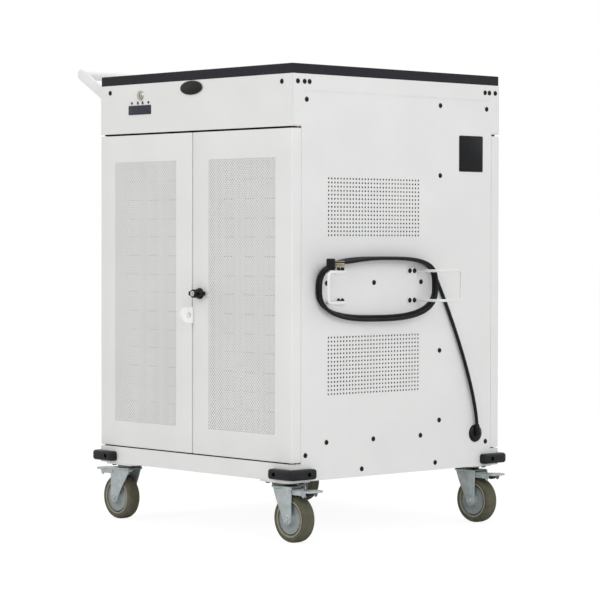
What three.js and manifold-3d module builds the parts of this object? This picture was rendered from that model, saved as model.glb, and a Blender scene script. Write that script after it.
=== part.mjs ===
// Laptop charging cart: a white sheet steel cabinet with perforated front doors, on four braked casters.
// Millimetres, +Z up, front doors face -Y. The origin is on the floor, under the middle of the footprint.
import * as THREE from 'three';
import { mergeVertices } from 'three/addons/utils/BufferGeometryUtils.js';
import Module from 'manifold-3d';

const wasm = await Module();
wasm.setup();

// Cabinet
const cabinetWidth = 645;
const cabinetDepth = 625;
const cabinetHeight = 870;
const casterHeight = 130;
const sheet = 1.5;
const fit = 0.3;
const worktopThickness = 21;
const worktopCorner = 4;
const baseHeight = 37;
const upstandHeight = 24;
const fasciaHeight = 109;
const deckDrop = 43;
const deckFlange = 16;

// Doors
const doorDepth = 24;
const doorGapBelow = 2.5;
const doorGapAbove = 4;
const doorGapBetween = 3;
const jambGap = 2.5;
const jambWidth = 22;
const hingeInset = 5;
const hingeRodRadius = 3;
const hingeRodOverrun = 3;
const windowWidth = 216;
const windowHeight = 581;
const windowFromHinge = 52;
const windowFromBottom = 56;
const perforationPitch = 50;
const perforationRadius = 16;
const linerMargin = 8;
const linerInset = 1;
const slotColumns = 3;
const slotRows = 13;
const slotPitchX = 67;
const slotPitchZ = 41;
const slotLength = 35;
const slotWidth = 3.5;

// Padlock tabs and latches
const tabThickness = 2.5;
const tabReach = 32;
const tabHeight = 36;
const tabRise = 340.5;
const tabHoleRadius = 5.5;
const tabHoleReach = 12;
const knobX = 27;
const knobRise = 387.5;
const knobLength = 22;
const knobBaseRadius = 12;
const knobNoseRadius = 9;
const knobShaftRadius = 5;
const wingSpan = 46;
const wingHeight = 9;
const cylinderRadius = 6;
const cylinderDepth = 15;
const camLength = 36;
const camRadius = 9;
const camThickness = 3;
const camGap = 1.2;
const rearLockInset = 54.5;
const rearLockRadius = 8;
const rearLockFlange = 11;
const keySwitchX = -178.7;
const keySwitchDrop = 26;
const keyBezelRadius = 11;
const keyBarrelRadius = 9.5;
const keyBarrelLength = 28;
const keyPlugRadius = 6.2;
const bezelThickness = 3;
const keySlotWidth = 1.6;
const keySlotDepth = 3;

// Inside
const shelfFlange = 20;
const shelfSetback = 10;
const lowerShelfRise = 51;
const upperShelfRise = 386;
const partitionY = 124;
const partitionFlange = 18;
const partitionFoot = 2;
const bayCount = 8;
const dividerSheet = 2;
const dividerHeight = 170;
const dividerSlope = 60;
const rackSideGap = 10;
const rackEndGap = 12;
const cableSlotWidth = 240;
const cableSlotHeight = 40;
const cableSlotRise = 60;
const stripWidth = 46;
const stripDepth = 34;
const stripLength = 620;
const stripRise = 90;

// Side vents
const sideCentreY = -75;
const ventWidth = 267;
const ventHeight = 120;
const ventColumns = 4;
const ventRows = 2;
const ventHoleRadius = 20;
const upperVentRise = 573.4;
const lowerVentRise = 239;

// Push handle
const handleReach = 117.5;
const handleRadius = 12.5;
const handleSpan = 580;
const handleRise = 12.5;
const handleFootDrop = 48.5;
const handlePlate = 5;
const handleFootWidth = 40;
const handleFootHeight = 50;

// Bumpers
const bumperLeg = 76;
const bumperThickness = 17.5;
const bumperHeight = 20.5;
const bumperRise = 4.5;
const bumperCorner = 12;
const bumperEdge = 5;

// Cord hooks, cord gland, cord and plug
const hookWireRadius = 3;
const hookRise = 405.6;
const hookHeight = 64;
const frontHookBoltY = -177;
const frontHookLegY = -219;
const frontHookTipY = -272;
const rearHookBoltY = 36.3;
const rearHookLegY = 54;
const rearHookTipY = 122;
const hookStandoff = 68;
const hookBend = 10;
const hookPadLength = 28;
const hookPadHeight = 14;
const hookPadThickness = 2.5;
const cordRadius = 4;
const cordSides = 8;
const coilY = -76.4;
const coilRise = 400.5;
const coilHalfLength = 168.4;
const coilHalfHeight = 64.3;
const coilSag = 60.4;
const coilSagStep = 6.2;
const coilSquarenessEntry = 3.6;
const coilSquarenessTop = 2.85;
const coilSquarenessBottom = 2.7;
const coilFlare = 0.08;
const coilFrom = 11.6;
const coilTo = 810;
const coilFirstLayer = 4.7;
const coilLayerStep = 8.7;
const coilTail = 128.3;
const coilTailDrop = 11.3;
const tailBend = 40;
const tailTurn = 45;
const glandY = 238.1;
const glandRise = 74;
const glandFlangeRadius = 19.5;
const glandFlangeThickness = 6;
const glandBossRadius = 12;
const glandHoodRadius = 7;
const glandMouthRadius = 5.4;
const glandHoodLength = 20;
const glandHoodStandoff = 8.5;
const glandLean = 7.3;
const runHandleLow = 91;
const runHandleHigh = 97;
const plugLength = 28;
const plugHalfHeight = 12;
const plugNeck = 5.5;
const plugHalfThickness = 9;
const pinLength = 20;
const pinWidth = 6.4;
const pinThickness = 1.6;
const pinSpacing = 6;
const groundPinRadius = 2.4;

// Casters
const casterInsetX = 60.5;
const casterInsetY = 35.5;
const casterTrail = 30;
const casterPlateLength = 95;
const casterPlateWidth = 67;
const casterPlateThickness = 4;
const raceHeight = 7;
const raceRadius = 28;
const crownThickness = 4;
const forkLeg = 3;
const forkLead = 24;
const forkShoulder = 12;
const axleRadius = 5;
const axleBossRadius = 13;
const axleHeadRadius = 8;
const axleHeadLength = 5;
const wheelRadius = 51;
const wheelSides = 20;
const tyreWidth = 32;
const hubWidth = 36;
const hubRadius = 34;
const hubGap = 1;
const brakePinRadius = 2.5;
const brakePinX = 8;
const brakePinDrop = 6.5;
const leverBarrelRadius = 5.5;
const leverThickness = 3;
const leverReach = 102;
const leverTipRise = 4;
const leverTipCorner = 9;
const leverTongueWidth = 34;
const leverPedalWidth = 42;

// Places worked out from the driving dimensions
const halfWidth = cabinetWidth / 2;
const halfDepth = cabinetDepth / 2;
const innerHalfWidth = halfWidth - sheet - fit;
const innerHalfDepth = halfDepth - sheet - fit;
const baseTop = casterHeight + baseHeight;
const cabinetTop = casterHeight + cabinetHeight;
const worktopBottom = cabinetTop - worktopThickness;
const fasciaBottom = worktopBottom - fasciaHeight;
const doorBottom = baseTop + doorGapBelow;
const doorTop = fasciaBottom - doorGapAbove;
const jambFace = halfDepth - doorDepth - jambGap;
const ledgeDepth = doorDepth + jambGap - fit;
const hingeX = halfWidth - hingeInset;
const hingeY = halfDepth - doorDepth + hingeInset;
const windowInner = halfWidth - windowFromHinge - windowWidth;
const windowBottom = doorBottom + windowFromBottom;
const windowTop = windowBottom + windowHeight;
const knobZ = casterHeight + knobRise;
const rearLockX = halfWidth - rearLockInset;
const tabZ = casterHeight + tabRise;
const deckTop = worktopBottom - deckDrop;
const shelfFront = jambFace - sheet - shelfSetback;
const lowerShelfTop = baseTop + lowerShelfRise;
const upperShelfTop = baseTop + upperShelfRise;
const rackHalfWidth = innerHalfWidth - rackSideGap;
const hookZ = casterHeight + hookRise;

const finishes = {
  whiteSteel: { color: '#e6e6e3', roughness: 0.45, metalness: 0 },
  blackTop: { color: '#2c2d30', roughness: 0.6, metalness: 0 },
  blackPlastic: { color: '#1c1c1e', roughness: 0.5, metalness: 0 },
  rubber: { color: '#2a2a2c', roughness: 0.7, metalness: 0 },
  zinc: { color: '#b9bec2', roughness: 0.35, metalness: 0.9 },
  tyre: { color: '#6d675a', roughness: 0.6, metalness: 0 },
  hub: { color: '#8f9496', roughness: 0.5, metalness: 0 },
  nickel: { color: '#c3c1ba', roughness: 0.3, metalness: 0.9 },
  paleSteel: { color: '#d9d9d6', roughness: 0.5, metalness: 0 },
};

const cart = new THREE.Group();

// Solids and outlines

function signedVolume(position, triangles) {
  const [a, b, c] = [new THREE.Vector3(), new THREE.Vector3(), new THREE.Vector3()];
  let volume = 0;
  for (let i = 0; i < triangles.length; i += 3) {
    a.fromArray(position, 3 * triangles[i]);
    b.fromArray(position, 3 * triangles[i + 1]);
    c.fromArray(position, 3 * triangles[i + 2]);
    volume += a.dot(b.cross(c)) / 6;
  }
  return volume;
}

// Closed solid of a geometry, with its faces pointing out
function solid(geometry) {
  geometry.deleteAttribute('normal');
  geometry.deleteAttribute('uv');
  const merged = mergeVertices(geometry);
  const position = merged.getAttribute('position').array;
  const index = merged.getIndex().array;
  const triangles = [];
  for (let i = 0; i < index.length; i += 3) {
    const corners = index.slice(i, i + 3);
    if (new Set(corners).size === 3) triangles.push(...corners);
  }
  if (signedVolume(position, triangles) < 0) triangles.reverse();
  return new wasm.Manifold(new wasm.Mesh({
    numProp: 3,
    vertProperties: new Float32Array(position),
    triVerts: new Uint32Array(triangles),
  }));
}

function add(name, body, finish, parent = cart) {
  const { vertProperties, triVerts } = body.getMesh();
  const geometry = new THREE.BufferGeometry();
  geometry.setAttribute('position', new THREE.BufferAttribute(vertProperties, 3));
  geometry.setIndex(new THREE.BufferAttribute(triVerts, 1));
  const mesh = new THREE.Mesh(geometry, new THREE.MeshStandardMaterial(finishes[finish]));
  mesh.name = name;
  parent.add(mesh);
}

function join(...bodies) {
  return bodies.reduce((whole, body) => whole.add(body));
}

function polygon(points) {
  return new THREE.Shape(points.map(([a, b]) => new THREE.Vector2(a, b)));
}

function rect(a0, b0, a1, b1) {
  return polygon([[a0, b0], [a1, b0], [a1, b1], [a0, b1]]);
}

function disc(a, b, radius, sides = 12) {
  const points = [];
  for (let i = 0; i < sides; i++) {
    const angle = (2 * Math.PI * (i + 0.5)) / sides;
    points.push([a + radius * Math.cos(angle), b + radius * Math.sin(angle)]);
  }
  return polygon(points);
}

// Slot shape round two centres that lie above each other or side by side
function capsule(a0, b0, a1, b1, radius) {
  const turn = Math.atan2(b1 - b0, a1 - a0);
  const shape = new THREE.Shape();
  shape.absarc(a1, b1, radius, turn - Math.PI / 2, turn + Math.PI / 2, false);
  shape.absarc(a0, b0, radius, turn + Math.PI / 2, turn + (3 * Math.PI) / 2, false);
  return shape;
}

// The plane that an outline is drawn in, and the way it is pushed:
// x from (y, z), y from (x, z), z from (x, y)
const [alongX, alongY, alongZ] = [[1, 0, 0], [0, 1, 0], [0, 0, 1]].map((axis) => new THREE.Vector3(...axis));
const pushed = {
  x: new THREE.Matrix4().makeBasis(alongY, alongZ, alongX),
  y: new THREE.Matrix4().makeBasis(alongX, alongZ, alongY.clone().negate()),
  z: new THREE.Matrix4(),
};

function prism(axis, shape, from, to, { curveSegments = 5, edge = 0 } = {}) {
  const [low, high] = [Math.min(from, to), Math.max(from, to)];
  const geometry = new THREE.ExtrudeGeometry(shape, {
    depth: high - low - 2 * edge,
    bevelEnabled: edge > 0,
    bevelThickness: edge,
    bevelSize: edge,
    bevelOffset: -edge,
    bevelSegments: 1,
    curveSegments,
  });
  geometry.translate(0, 0, edge);
  geometry.applyMatrix4(pushed[axis]);
  const start = { x: [low, 0, 0], y: [0, high, 0], z: [0, 0, low] }[axis];
  geometry.translate(...start);
  return solid(geometry);
}

// Plate pushed from an outline, with holes punched through it
function plate(axis, outline, holes, from, to, options) {
  const blank = prism(axis, outline, from, to, options);
  if (holes.length === 0) return blank;
  return blank.subtract(prism(axis, holes, Math.min(from, to) - 1, Math.max(from, to) + 1));
}

function block(x0, x1, y0, y1, z0, z1) {
  return prism('z', rect(x0, y0, x1, y1), z0, z1);
}

function bar(axis, a, b, radius, from, to, sides = 12) {
  return prism(axis, disc(a, b, radius, sides), from, to);
}

// Turned piece about the Y axis, from a profile of (radius, y)
function turned(profile, sides = 14) {
  const points = profile.map(([radius, y]) => new THREE.Vector2(radius, y));
  const phase = Math.PI / sides;
  return solid(new THREE.LatheGeometry(points, sides, phase));
}

function upright(body) {
  return body.rotate([90, 0, 0]);
}

function tube(path, radius, steps, sides) {
  const section = disc(0, 0, radius, sides);
  return solid(new THREE.ExtrudeGeometry(section, { extrudePath: path, steps, bevelEnabled: false }));
}

// Channel section: a plate with a flange at each end, the plate's outer face at high
function channel(half, high, flange) {
  return polygon([
    [-half, high - flange], [-half + sheet, high - flange], [-half + sheet, high - sheet],
    [half - sheet, high - sheet], [half - sheet, high - flange], [half, high - flange],
    [half, high], [-half, high],
  ]);
}

// Face and ledge of a front or rear rail, drawn in (y, z): the ledge lies along the face's low or high edge
function rail(facing, low, high, ledgeLow) {
  const face = facing * halfDepth;
  const lip = facing * (halfDepth - ledgeDepth);
  const inside = facing * (halfDepth - sheet);
  const band = prism('x', rect(face, low, inside, high), -halfWidth, halfWidth);
  return band.add(prism('x', rect(face, ledgeLow, lip, ledgeLow + sheet), -halfWidth, halfWidth));
}

function hingeBore(side, facing) {
  const radius = hingeRodRadius + fit;
  return bar('z', side * hingeX, facing * hingeY, radius, casterHeight, worktopBottom);
}

// Cabinet shell

function baseFrame() {
  const [floorLow, floorHigh] = [casterHeight, casterHeight + sheet];
  const floor = block(-innerHalfWidth, innerHalfWidth, -halfDepth, halfDepth, floorLow, floorHigh);
  const rails = [-1, 1].map((facing) => rail(facing, casterHeight, baseTop, baseTop - sheet));
  const upstands = [-1, 1].map((side) => {
    const [outer, inner] = [side * innerHalfWidth, side * (innerHalfWidth - sheet)];
    const upstand = rect(-innerHalfDepth, casterHeight, innerHalfDepth, casterHeight + upstandHeight);
    return prism('x', upstand, outer, inner);
  });
  const bores = [hingeBore(-1, -1), hingeBore(1, -1), hingeBore(-1, 1)];
  const seats = bores.map((bore) => bore.intersect(
    block(-halfWidth, halfWidth, -halfDepth, halfDepth, baseTop - 2 * sheet, baseTop + sheet)));
  return seats.reduce((whole, seat) => whole.subtract(seat), join(floor, ...rails, ...upstands));
}

function fascia(facing, sides) {
  const frame = rail(facing, fasciaBottom, worktopBottom, fasciaBottom);
  return sides.reduce((whole, side) => whole.subtract(hingeBore(side, facing)), frame);
}

function ventHoles(centreZ) {
  const holes = [];
  const [pitchY, pitchZ] = [ventWidth / ventColumns, ventHeight / ventRows];
  for (let column = 0; column < ventColumns; column++) {
    for (let row = 0; row < ventRows; row++) {
      const y = sideCentreY + (column - (ventColumns - 1) / 2) * pitchY;
      const z = centreZ + (row - (ventRows - 1) / 2) * pitchZ;
      holes.push(disc(y, z, ventHoleRadius, 6));
    }
  }
  return holes;
}

function sidePanel(side, extraHoles) {
  const ledge = baseTop - sheet - fit;
  const flange = fasciaBottom + sheet + fit;
  const [full, waist] = [innerHalfDepth, jambFace];
  const outline = polygon([
    [-full, casterHeight], [full, casterHeight], [full, ledge], [waist, ledge],
    [waist, flange], [full, flange], [full, worktopBottom], [-full, worktopBottom],
    [-full, flange], [-waist, flange], [-waist, ledge], [-full, ledge],
  ]);
  const vents = [...ventHoles(casterHeight + upperVentRise), ...ventHoles(casterHeight + lowerVentRise)];
  const [outer, inner] = [side * halfWidth, side * (halfWidth - sheet)];
  const fold = side * (halfWidth - jambWidth);
  const skin = plate('x', outline, [...vents, ...extraHoles], outer, inner);
  const jambs = [-1, 1].map((facing) => {
    const [face, back] = [facing * jambFace, facing * (jambFace - sheet)];
    return prism('z', rect(outer, face, fold, back), baseTop, fasciaBottom);
  });
  const topFlange = prism('z', rect(outer, -full, fold, full), worktopBottom - sheet, worktopBottom);
  return join(skin, ...jambs, topFlange);
}

function worktop() {
  const [w, d, r] = [halfWidth, halfDepth, worktopCorner];
  const outline = new THREE.Shape();
  outline.absarc(w - r, d - r, r, 0, Math.PI / 2, false);
  outline.absarc(-w + r, d - r, r, Math.PI / 2, Math.PI, false);
  outline.absarc(-w + r, -d + r, r, Math.PI, 1.5 * Math.PI, false);
  outline.absarc(w - r, -d + r, r, 1.5 * Math.PI, 2 * Math.PI, false);
  return prism('z', outline, worktopBottom, cabinetTop, { curveSegments: 3, edge: 1 });
}

// Inside

function shelf(top) {
  return prism('y', channel(innerHalfWidth, top, shelfFlange), -shelfFront, partitionY - fit);
}

function topDeck() {
  return prism('y', channel(innerHalfWidth, deckTop, deckFlange), -innerHalfDepth, innerHalfDepth);
}

function partition() {
  const top = deckTop - deckFlange - fit;
  const slots = [];
  for (const shelfTop of [lowerShelfTop, upperShelfTop]) {
    for (const side of [-1, 1]) {
      const [x, z] = [(side * innerHalfWidth) / 2, shelfTop + cableSlotRise];
      slots.push(rect(x - cableSlotWidth / 2, z, x + cableSlotWidth / 2, z + cableSlotHeight));
    }
  }
  const bottom = baseTop + partitionFoot;
  const outline = rect(-innerHalfWidth, bottom, innerHalfWidth, top);
  const wall = plate('y', outline, slots, partitionY, partitionY + sheet);
  const flanges = [-1, 1].map((side) => {
    const [outer, inner] = [side * innerHalfWidth, side * (innerHalfWidth - sheet)];
    return prism('z', rect(outer, partitionY, inner, partitionY + partitionFlange), bottom, top);
  });
  return join(wall, ...flanges);
}

// Comb of upright dividers on a floor plate, with sloping front edges
function dividerRack(shelfTop) {
  const floor = shelfTop + fit;
  const pitch = (2 * rackHalfWidth - dividerSheet) / bayCount;
  const comb = [[-rackHalfWidth, floor], [rackHalfWidth, floor]];
  for (let fin = bayCount; fin >= 0; fin--) {
    const left = -rackHalfWidth + fin * pitch;
    const right = left + dividerSheet;
    if (fin < bayCount) comb.push([right, floor + dividerSheet]);
    comb.push([right, floor + dividerHeight], [left, floor + dividerHeight]);
    if (fin > 0) comb.push([left, floor + dividerSheet]);
  }
  comb.pop();
  comb.push([-rackHalfWidth, floor + dividerHeight]);
  const [front, back] = [-shelfFront + rackEndGap, partitionY - rackEndGap];
  const side = polygon([
    [front, floor], [back, floor], [back, floor + dividerHeight], [front + dividerSlope, floor + dividerHeight],
    [front, floor + dividerHeight / 2],
  ]);
  return prism('y', polygon(comb), front, back).intersect(prism('x', side, -halfWidth, halfWidth));
}

function powerStrip() {
  const back = partitionY + sheet + fit;
  const low = baseTop + stripRise;
  const outline = rect(-stripWidth / 2, low, stripWidth / 2, low + stripLength);
  return prism('y', outline, back, back + stripDepth, { edge: 2 });
}

// Doors

function span(side, near, far) {
  return side > 0 ? [near, far] : [-far, -near];
}

function pan(x0, x1, facing, holes) {
  const [face, rim, inside] = [halfDepth, halfDepth - doorDepth, halfDepth - sheet].map((y) => facing * y);
  const outline = rect(x0, doorBottom, x1, doorTop);
  const hollow = rect(x0 + sheet, doorBottom + sheet, x1 - sheet, doorTop - sheet);
  return plate('y', outline, [hollow], face, rim).add(plate('y', outline, holes, face, inside));
}

// Staggered rows of holes that fill the window
function perforation(side) {
  const holes = [];
  const rowPitch = perforationPitch * Math.sqrt(0.75);
  const rows = Math.floor((windowHeight - 2 * perforationRadius) / rowPitch) + 1;
  const columns = Math.floor((windowWidth - 2 * perforationRadius) / perforationPitch) + 1;
  const [middleX, middleZ] = [side * (windowInner + windowWidth / 2), (windowBottom + windowTop) / 2];
  for (let row = 0; row < rows; row++) {
    const count = columns - (row % 2);
    for (let column = 0; column < count; column++) {
      const x = middleX + (column - (count - 1) / 2) * perforationPitch;
      holes.push(disc(x, middleZ + (row - (rows - 1) / 2) * rowPitch, perforationRadius, 6));
    }
  }
  return holes;
}

function frontDoor(side, extraHoles) {
  const [x0, x1] = span(side, doorGapBetween / 2, halfWidth);
  return pan(x0, x1, -1, [...perforation(side), ...extraHoles]).subtract(hingeBore(side, -1));
}

function rearDoor() {
  const lock = disc(rearLockX, knobZ, rearLockRadius + fit);
  return pan(-halfWidth, halfWidth, 1, [lock]).subtract(hingeBore(-1, 1));
}

function doorLiner(side) {
  const [x0, x1] = span(side, windowInner - linerMargin, windowInner + windowWidth + linerMargin);
  const [z0, z1] = [windowBottom - linerMargin, windowTop + linerMargin];
  const back = -halfDepth + doorDepth - linerInset;
  const slots = [];
  for (let column = 0; column < slotColumns; column++) {
    for (let row = 0; row < slotRows; row++) {
      const x = (x0 + x1) / 2 + (column - (slotColumns - 1) / 2) * slotPitchX;
      const z = (z0 + z1) / 2 + (row - (slotRows - 1) / 2) * slotPitchZ;
      slots.push(rect(x - slotLength / 2, z - slotWidth / 2, x + slotLength / 2, z + slotWidth / 2));
    }
  }
  const outline = rect(x0, z0, x1, z1);
  const hollow = rect(x0 + sheet, z0 + sheet, x1 - sheet, z1 - sheet);
  const wall = plate('y', outline, slots, back - sheet, back);
  return wall.add(plate('y', outline, [hollow], -halfDepth + sheet + fit, back));
}

function hingeRod(side, facing) {
  const [low, high] = [baseTop - sheet - hingeRodOverrun, fasciaBottom + sheet + hingeRodOverrun];
  return bar('z', side * hingeX, facing * hingeY, hingeRodRadius, low, high);
}

// Rounded tab that stands out of a door's free edge, with a padlock hole
function padlockTab(side) {
  const [x0, x1] = span(side, doorGapBetween / 2, doorGapBetween / 2 + tabThickness);
  const root = -halfDepth - fit;
  const bend = tabHeight / 2;
  const tip = root - tabReach + bend;
  const outline = new THREE.Shape();
  outline.moveTo(root, tabZ - bend);
  outline.lineTo(root, tabZ + bend);
  outline.absarc(tip, tabZ, bend, Math.PI / 2, 1.5 * Math.PI, false);
  const hole = disc(root - tabHoleReach, tabZ, tabHoleRadius, 12);
  return plate('x', outline, [hole], x0, x1, { curveSegments: 8 });
}

// Latches and key switch

function wingKnob() {
  const body = turned([
    [0, -fit], [knobBaseRadius, -fit], [knobBaseRadius, -knobLength / 4], [knobNoseRadius, -knobLength / 2],
    [knobNoseRadius, -knobLength + 1], [knobNoseRadius - 1, -knobLength], [0, -knobLength],
  ]);
  const half = (wingSpan - wingHeight) / 2;
  const wingOutline = capsule(-half, 0, half, 0, wingHeight / 2);
  const wings = prism('y', wingOutline, -knobLength * 0.65, -knobLength * 0.2, { edge: 1 });
  const shaft = bar('y', 0, 0, knobShaftRadius, -knobLength / 4, doorDepth + camGap + 2 * camThickness);
  const socket = bar('y', 0, 0, cylinderRadius + fit, -knobLength - 1, -knobLength + cylinderDepth);
  return join(body, wings, shaft).subtract(socket);
}

function keyed(radius, from, to) {
  const [side, reach] = [keySlotWidth / 2, radius * 0.6];
  const slot = block(-side, side, from - 1, from + keySlotDepth, -reach, reach);
  return bar('y', 0, 0, radius, from, to, 16).subtract(slot);
}

function latchCam() {
  const outline = capsule(0, 0, 0, -camLength, camRadius);
  const bore = disc(0, 0, knobShaftRadius + fit);
  return plate('y', outline, [bore], doorDepth + camGap, doorDepth + camGap + camThickness);
}

function rearLock() {
  const camBack = doorDepth + jambGap + sheet + camGap;
  const barrel = bar('y', 0, 0, rearLockRadius, fit, -camBack - camThickness);
  const profile = [[0, fit], [rearLockFlange, fit], [rearLockFlange - 1, bezelThickness], [0, bezelThickness]];
  const flange = turned(profile, 16);
  const cam = prism('y', capsule(0, 0, 0, -camLength, camRadius), -camBack - camThickness, -camBack);
  const [side, floor] = [keySlotWidth / 2, bezelThickness - keySlotDepth / 2];
  const slot = block(-side, side, floor, bezelThickness + 1, -4, 4);
  return join(barrel, flange, cam).subtract(slot);
}

function keySwitchBody() {
  const bezel = turned([
    [0, -fit], [keyBezelRadius, -fit], [keyBezelRadius - 1, -bezelThickness], [0, -bezelThickness],
  ]);
  const barrel = bar('y', 0, 0, keyBarrelRadius, -bezelThickness / 2, keyBarrelLength);
  const socket = bar('y', 0, 0, keyPlugRadius + fit, -bezelThickness - 1, keyBarrelLength / 2, 16);
  return bezel.add(barrel).subtract(socket);
}

// Push handle: two sloping bracket arms with feet, and a round grip between them
function pushHandle() {
  const wall = -halfWidth - fit;
  const grip = new THREE.Vector2(-halfWidth - handleReach + handleRadius, cabinetTop + handleRise);
  const root = new THREE.Vector2(wall, cabinetTop - handleFootDrop);
  const along = grip.clone().sub(root).normalize();
  const across = new THREE.Vector2(-along.y, along.x);
  const onWall = (start) => start.clone().addScaledVector(along, (wall - start.x) / along.x);
  const turn = Math.atan2(across.y, across.x);
  const lower = grip.clone().addScaledVector(across, handleRadius);
  const upper = grip.clone().addScaledVector(across, -handleRadius);
  const arm = new THREE.Shape();
  arm.moveTo(...onWall(lower).toArray());
  arm.lineTo(...lower.toArray());
  arm.absarc(grip.x, grip.y, handleRadius, turn, turn - Math.PI, true);
  arm.lineTo(...onWall(upper).toArray());
  const arms = [-1, 1].map((facing) => {
    const [outer, inner] = [facing * handleSpan / 2, facing * (handleSpan / 2 - handlePlate)];
    const edge = facing * (handleSpan / 2 - handleFootWidth);
    const [low, high] = [root.y - handleFootHeight / 2, root.y + handleFootHeight / 2];
    const foot = prism('x', rect(outer, low, edge, high), wall - handlePlate, wall);
    return prism('y', arm, outer, inner, { curveSegments: 6 }).add(foot);
  });
  const [left, right] = [-handleSpan / 2 + handlePlate / 2, handleSpan / 2 - handlePlate / 2];
  return join(bar('y', grip.x, grip.y, handleRadius - 0.5, left, right, 14), ...arms);
}

// Rubber corner bumper with a rounded nose
function bumper(side, facing) {
  const [inX, inY] = [halfWidth + fit, halfDepth + fit];
  const [outX, outY] = [halfWidth + bumperThickness, halfDepth + bumperThickness];
  const [endX, endY] = [halfWidth - bumperLeg + bumperThickness, halfDepth - bumperLeg + bumperThickness];
  const taper = bumperEdge * 2;
  const points = [[endX, inY], [inX, inY], [inX, endY], [outX - taper, endY], [outX, endY + taper]];
  for (let i = 0; i <= 4; i++) {
    const angle = (i * Math.PI) / 8;
    const [x, y] = [outX - bumperCorner, outY - bumperCorner];
    points.push([x + bumperCorner * Math.cos(angle), y + bumperCorner * Math.sin(angle)]);
  }
  points.push([endX + taper, outY], [endX, outY - taper]);
  const outline = polygon(points.map(([x, y]) => [side * x, facing * y]));
  const low = casterHeight + bumperRise;
  return prism('z', outline, low, low + bumperHeight, { edge: bumperEdge });
}

// Wire path: each straight stretch is one step of the sweep, and each round bend is a few
class BentWire extends THREE.Curve {
  constructor(points, bend) {
    super();
    this.stations = [points[0]];
    for (let i = 1; i < points.length - 1; i++) {
      const corner = points[i];
      const before = corner.clone().add(points[i - 1].clone().sub(corner).setLength(bend));
      const after = corner.clone().add(points[i + 1].clone().sub(corner).setLength(bend));
      this.stations.push(...new THREE.QuadraticBezierCurve3(before, corner, after).getPoints(3));
    }
    this.stations.push(points[points.length - 1]);
  }

  get steps() {
    return this.stations.length - 1;
  }

  getUtoTmapping(u) {
    return u;
  }

  getPoint(t) {
    const place = Math.min(t, 1) * this.steps;
    const index = Math.min(Math.floor(place), this.steps - 1);
    return this.stations[index].clone().lerp(this.stations[index + 1], place - index);
  }
}

// Bent wire hook: flat on the panel at its bolts, then out, then along to its tip
function cordHook(boltY, legY, tipY) {
  const [wallX, outX] = [halfWidth + hookWireRadius + fit, halfWidth + hookStandoff];
  const [high, low] = [hookZ + hookHeight / 2, hookZ - hookHeight / 2];
  const startY = boltY + (Math.sign(boltY - legY) * hookPadLength) / 4;
  const route = [[wallX, startY], [wallX, legY], [outX, legY], [outX, tipY]];
  const there = route.map(([x, y]) => new THREE.Vector3(x, y, high));
  const back = route.map(([x, y]) => new THREE.Vector3(x, y, low)).reverse();
  const wire = new BentWire([...there, ...back], hookBend);
  const pads = [high, low].map((z) => {
    const [along, up] = [hookPadLength / 2, hookPadHeight / 2];
    const outline = rect(boltY - along, z - up, boltY + along, z + up);
    return prism('x', outline, halfWidth + fit, halfWidth + fit + hookPadThickness);
  });
  return join(tube(wire, hookWireRadius, wire.steps, 6), ...pads);
}

// Power cord: wound round the hooks as a rounded coil that climbs outwards, and ends in the plug

function ease(value, from, to) {
  return THREE.MathUtils.smoothstep(value, from, to);
}

const plugTurn = THREE.MathUtils.degToRad(tailTurn);

class CordCoil extends THREE.Curve {
  constructor() {
    super();
    this.lead = 2 * cordRadius;
    this.arcLengthDivisions = 1500;
    this.first = this.onLoop(coilFrom);
    this.firstWay = this.onLoop(coilFrom + 0.1).sub(this.first).normalize();
    this.last = this.onTail(1);
    this.lastWay = new THREE.Vector3(Math.sin(plugTurn), -Math.cos(plugTurn), 0);
  }

  layer(degrees) {
    const climbs = ease(degrees, 200, 340) + ease(degrees, 560, 700);
    return halfWidth + coilFirstLayer + coilLayerStep * climbs;
  }

  // Rounded oblong, wider where the cord first comes in; its second turn hangs lower than its first
  onLoop(degrees) {
    const angle = THREE.MathUtils.degToRad(degrees);
    const [c, s] = [Math.cos(angle), Math.sin(angle)];
    const topPower = c > 0 ? coilSquarenessEntry : coilSquarenessTop;
    const power = s > 0 ? topPower : coilSquarenessBottom;
    const height = s > 0 ? coilHalfHeight : coilSag + coilSagStep * ease(degrees, 360, 540);
    const size = (Math.abs(c / coilHalfLength) ** power + Math.abs(s / height) ** power) ** (-1 / power);
    const flare = 1 + coilFlare * (1 - ease(degrees, 10, 90));
    return new THREE.Vector3(this.layer(degrees), coilY + size * c * flare, casterHeight + coilRise + size * s);
  }

  // Stretch that drops a little towards the plug, and turns outwards at its end
  onTail(share) {
    const along = share * (coilTail + tailBend * plugTurn);
    const angle = Math.max(0, along - coilTail) / tailBend;
    const x = this.layer(coilTo) + tailBend * (1 - Math.cos(angle));
    const y = coilY - Math.min(along, coilTail) - tailBend * Math.sin(angle);
    const z = casterHeight + coilRise + coilHalfHeight - coilTailDrop * ease(share, 0, 1);
    return new THREE.Vector3(x, y, z);
  }

  // Straight for one cord diameter at each end, the loops and the tail between
  getPoint(t) {
    const [entry, tail, exit] = [0.01, 0.93, 0.99];
    if (t < entry) return this.first.clone().addScaledVector(this.firstWay, -this.lead * (1 - t / entry));
    if (t < tail) return this.onLoop(coilFrom + ((coilTo - coilFrom) * (t - entry)) / (tail - entry));
    if (t < exit) return this.onTail((t - tail) / (exit - tail));
    return this.last.clone().addScaledVector(this.lastWay, (this.lead * (t - exit)) / (1 - exit));
  }
}

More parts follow.
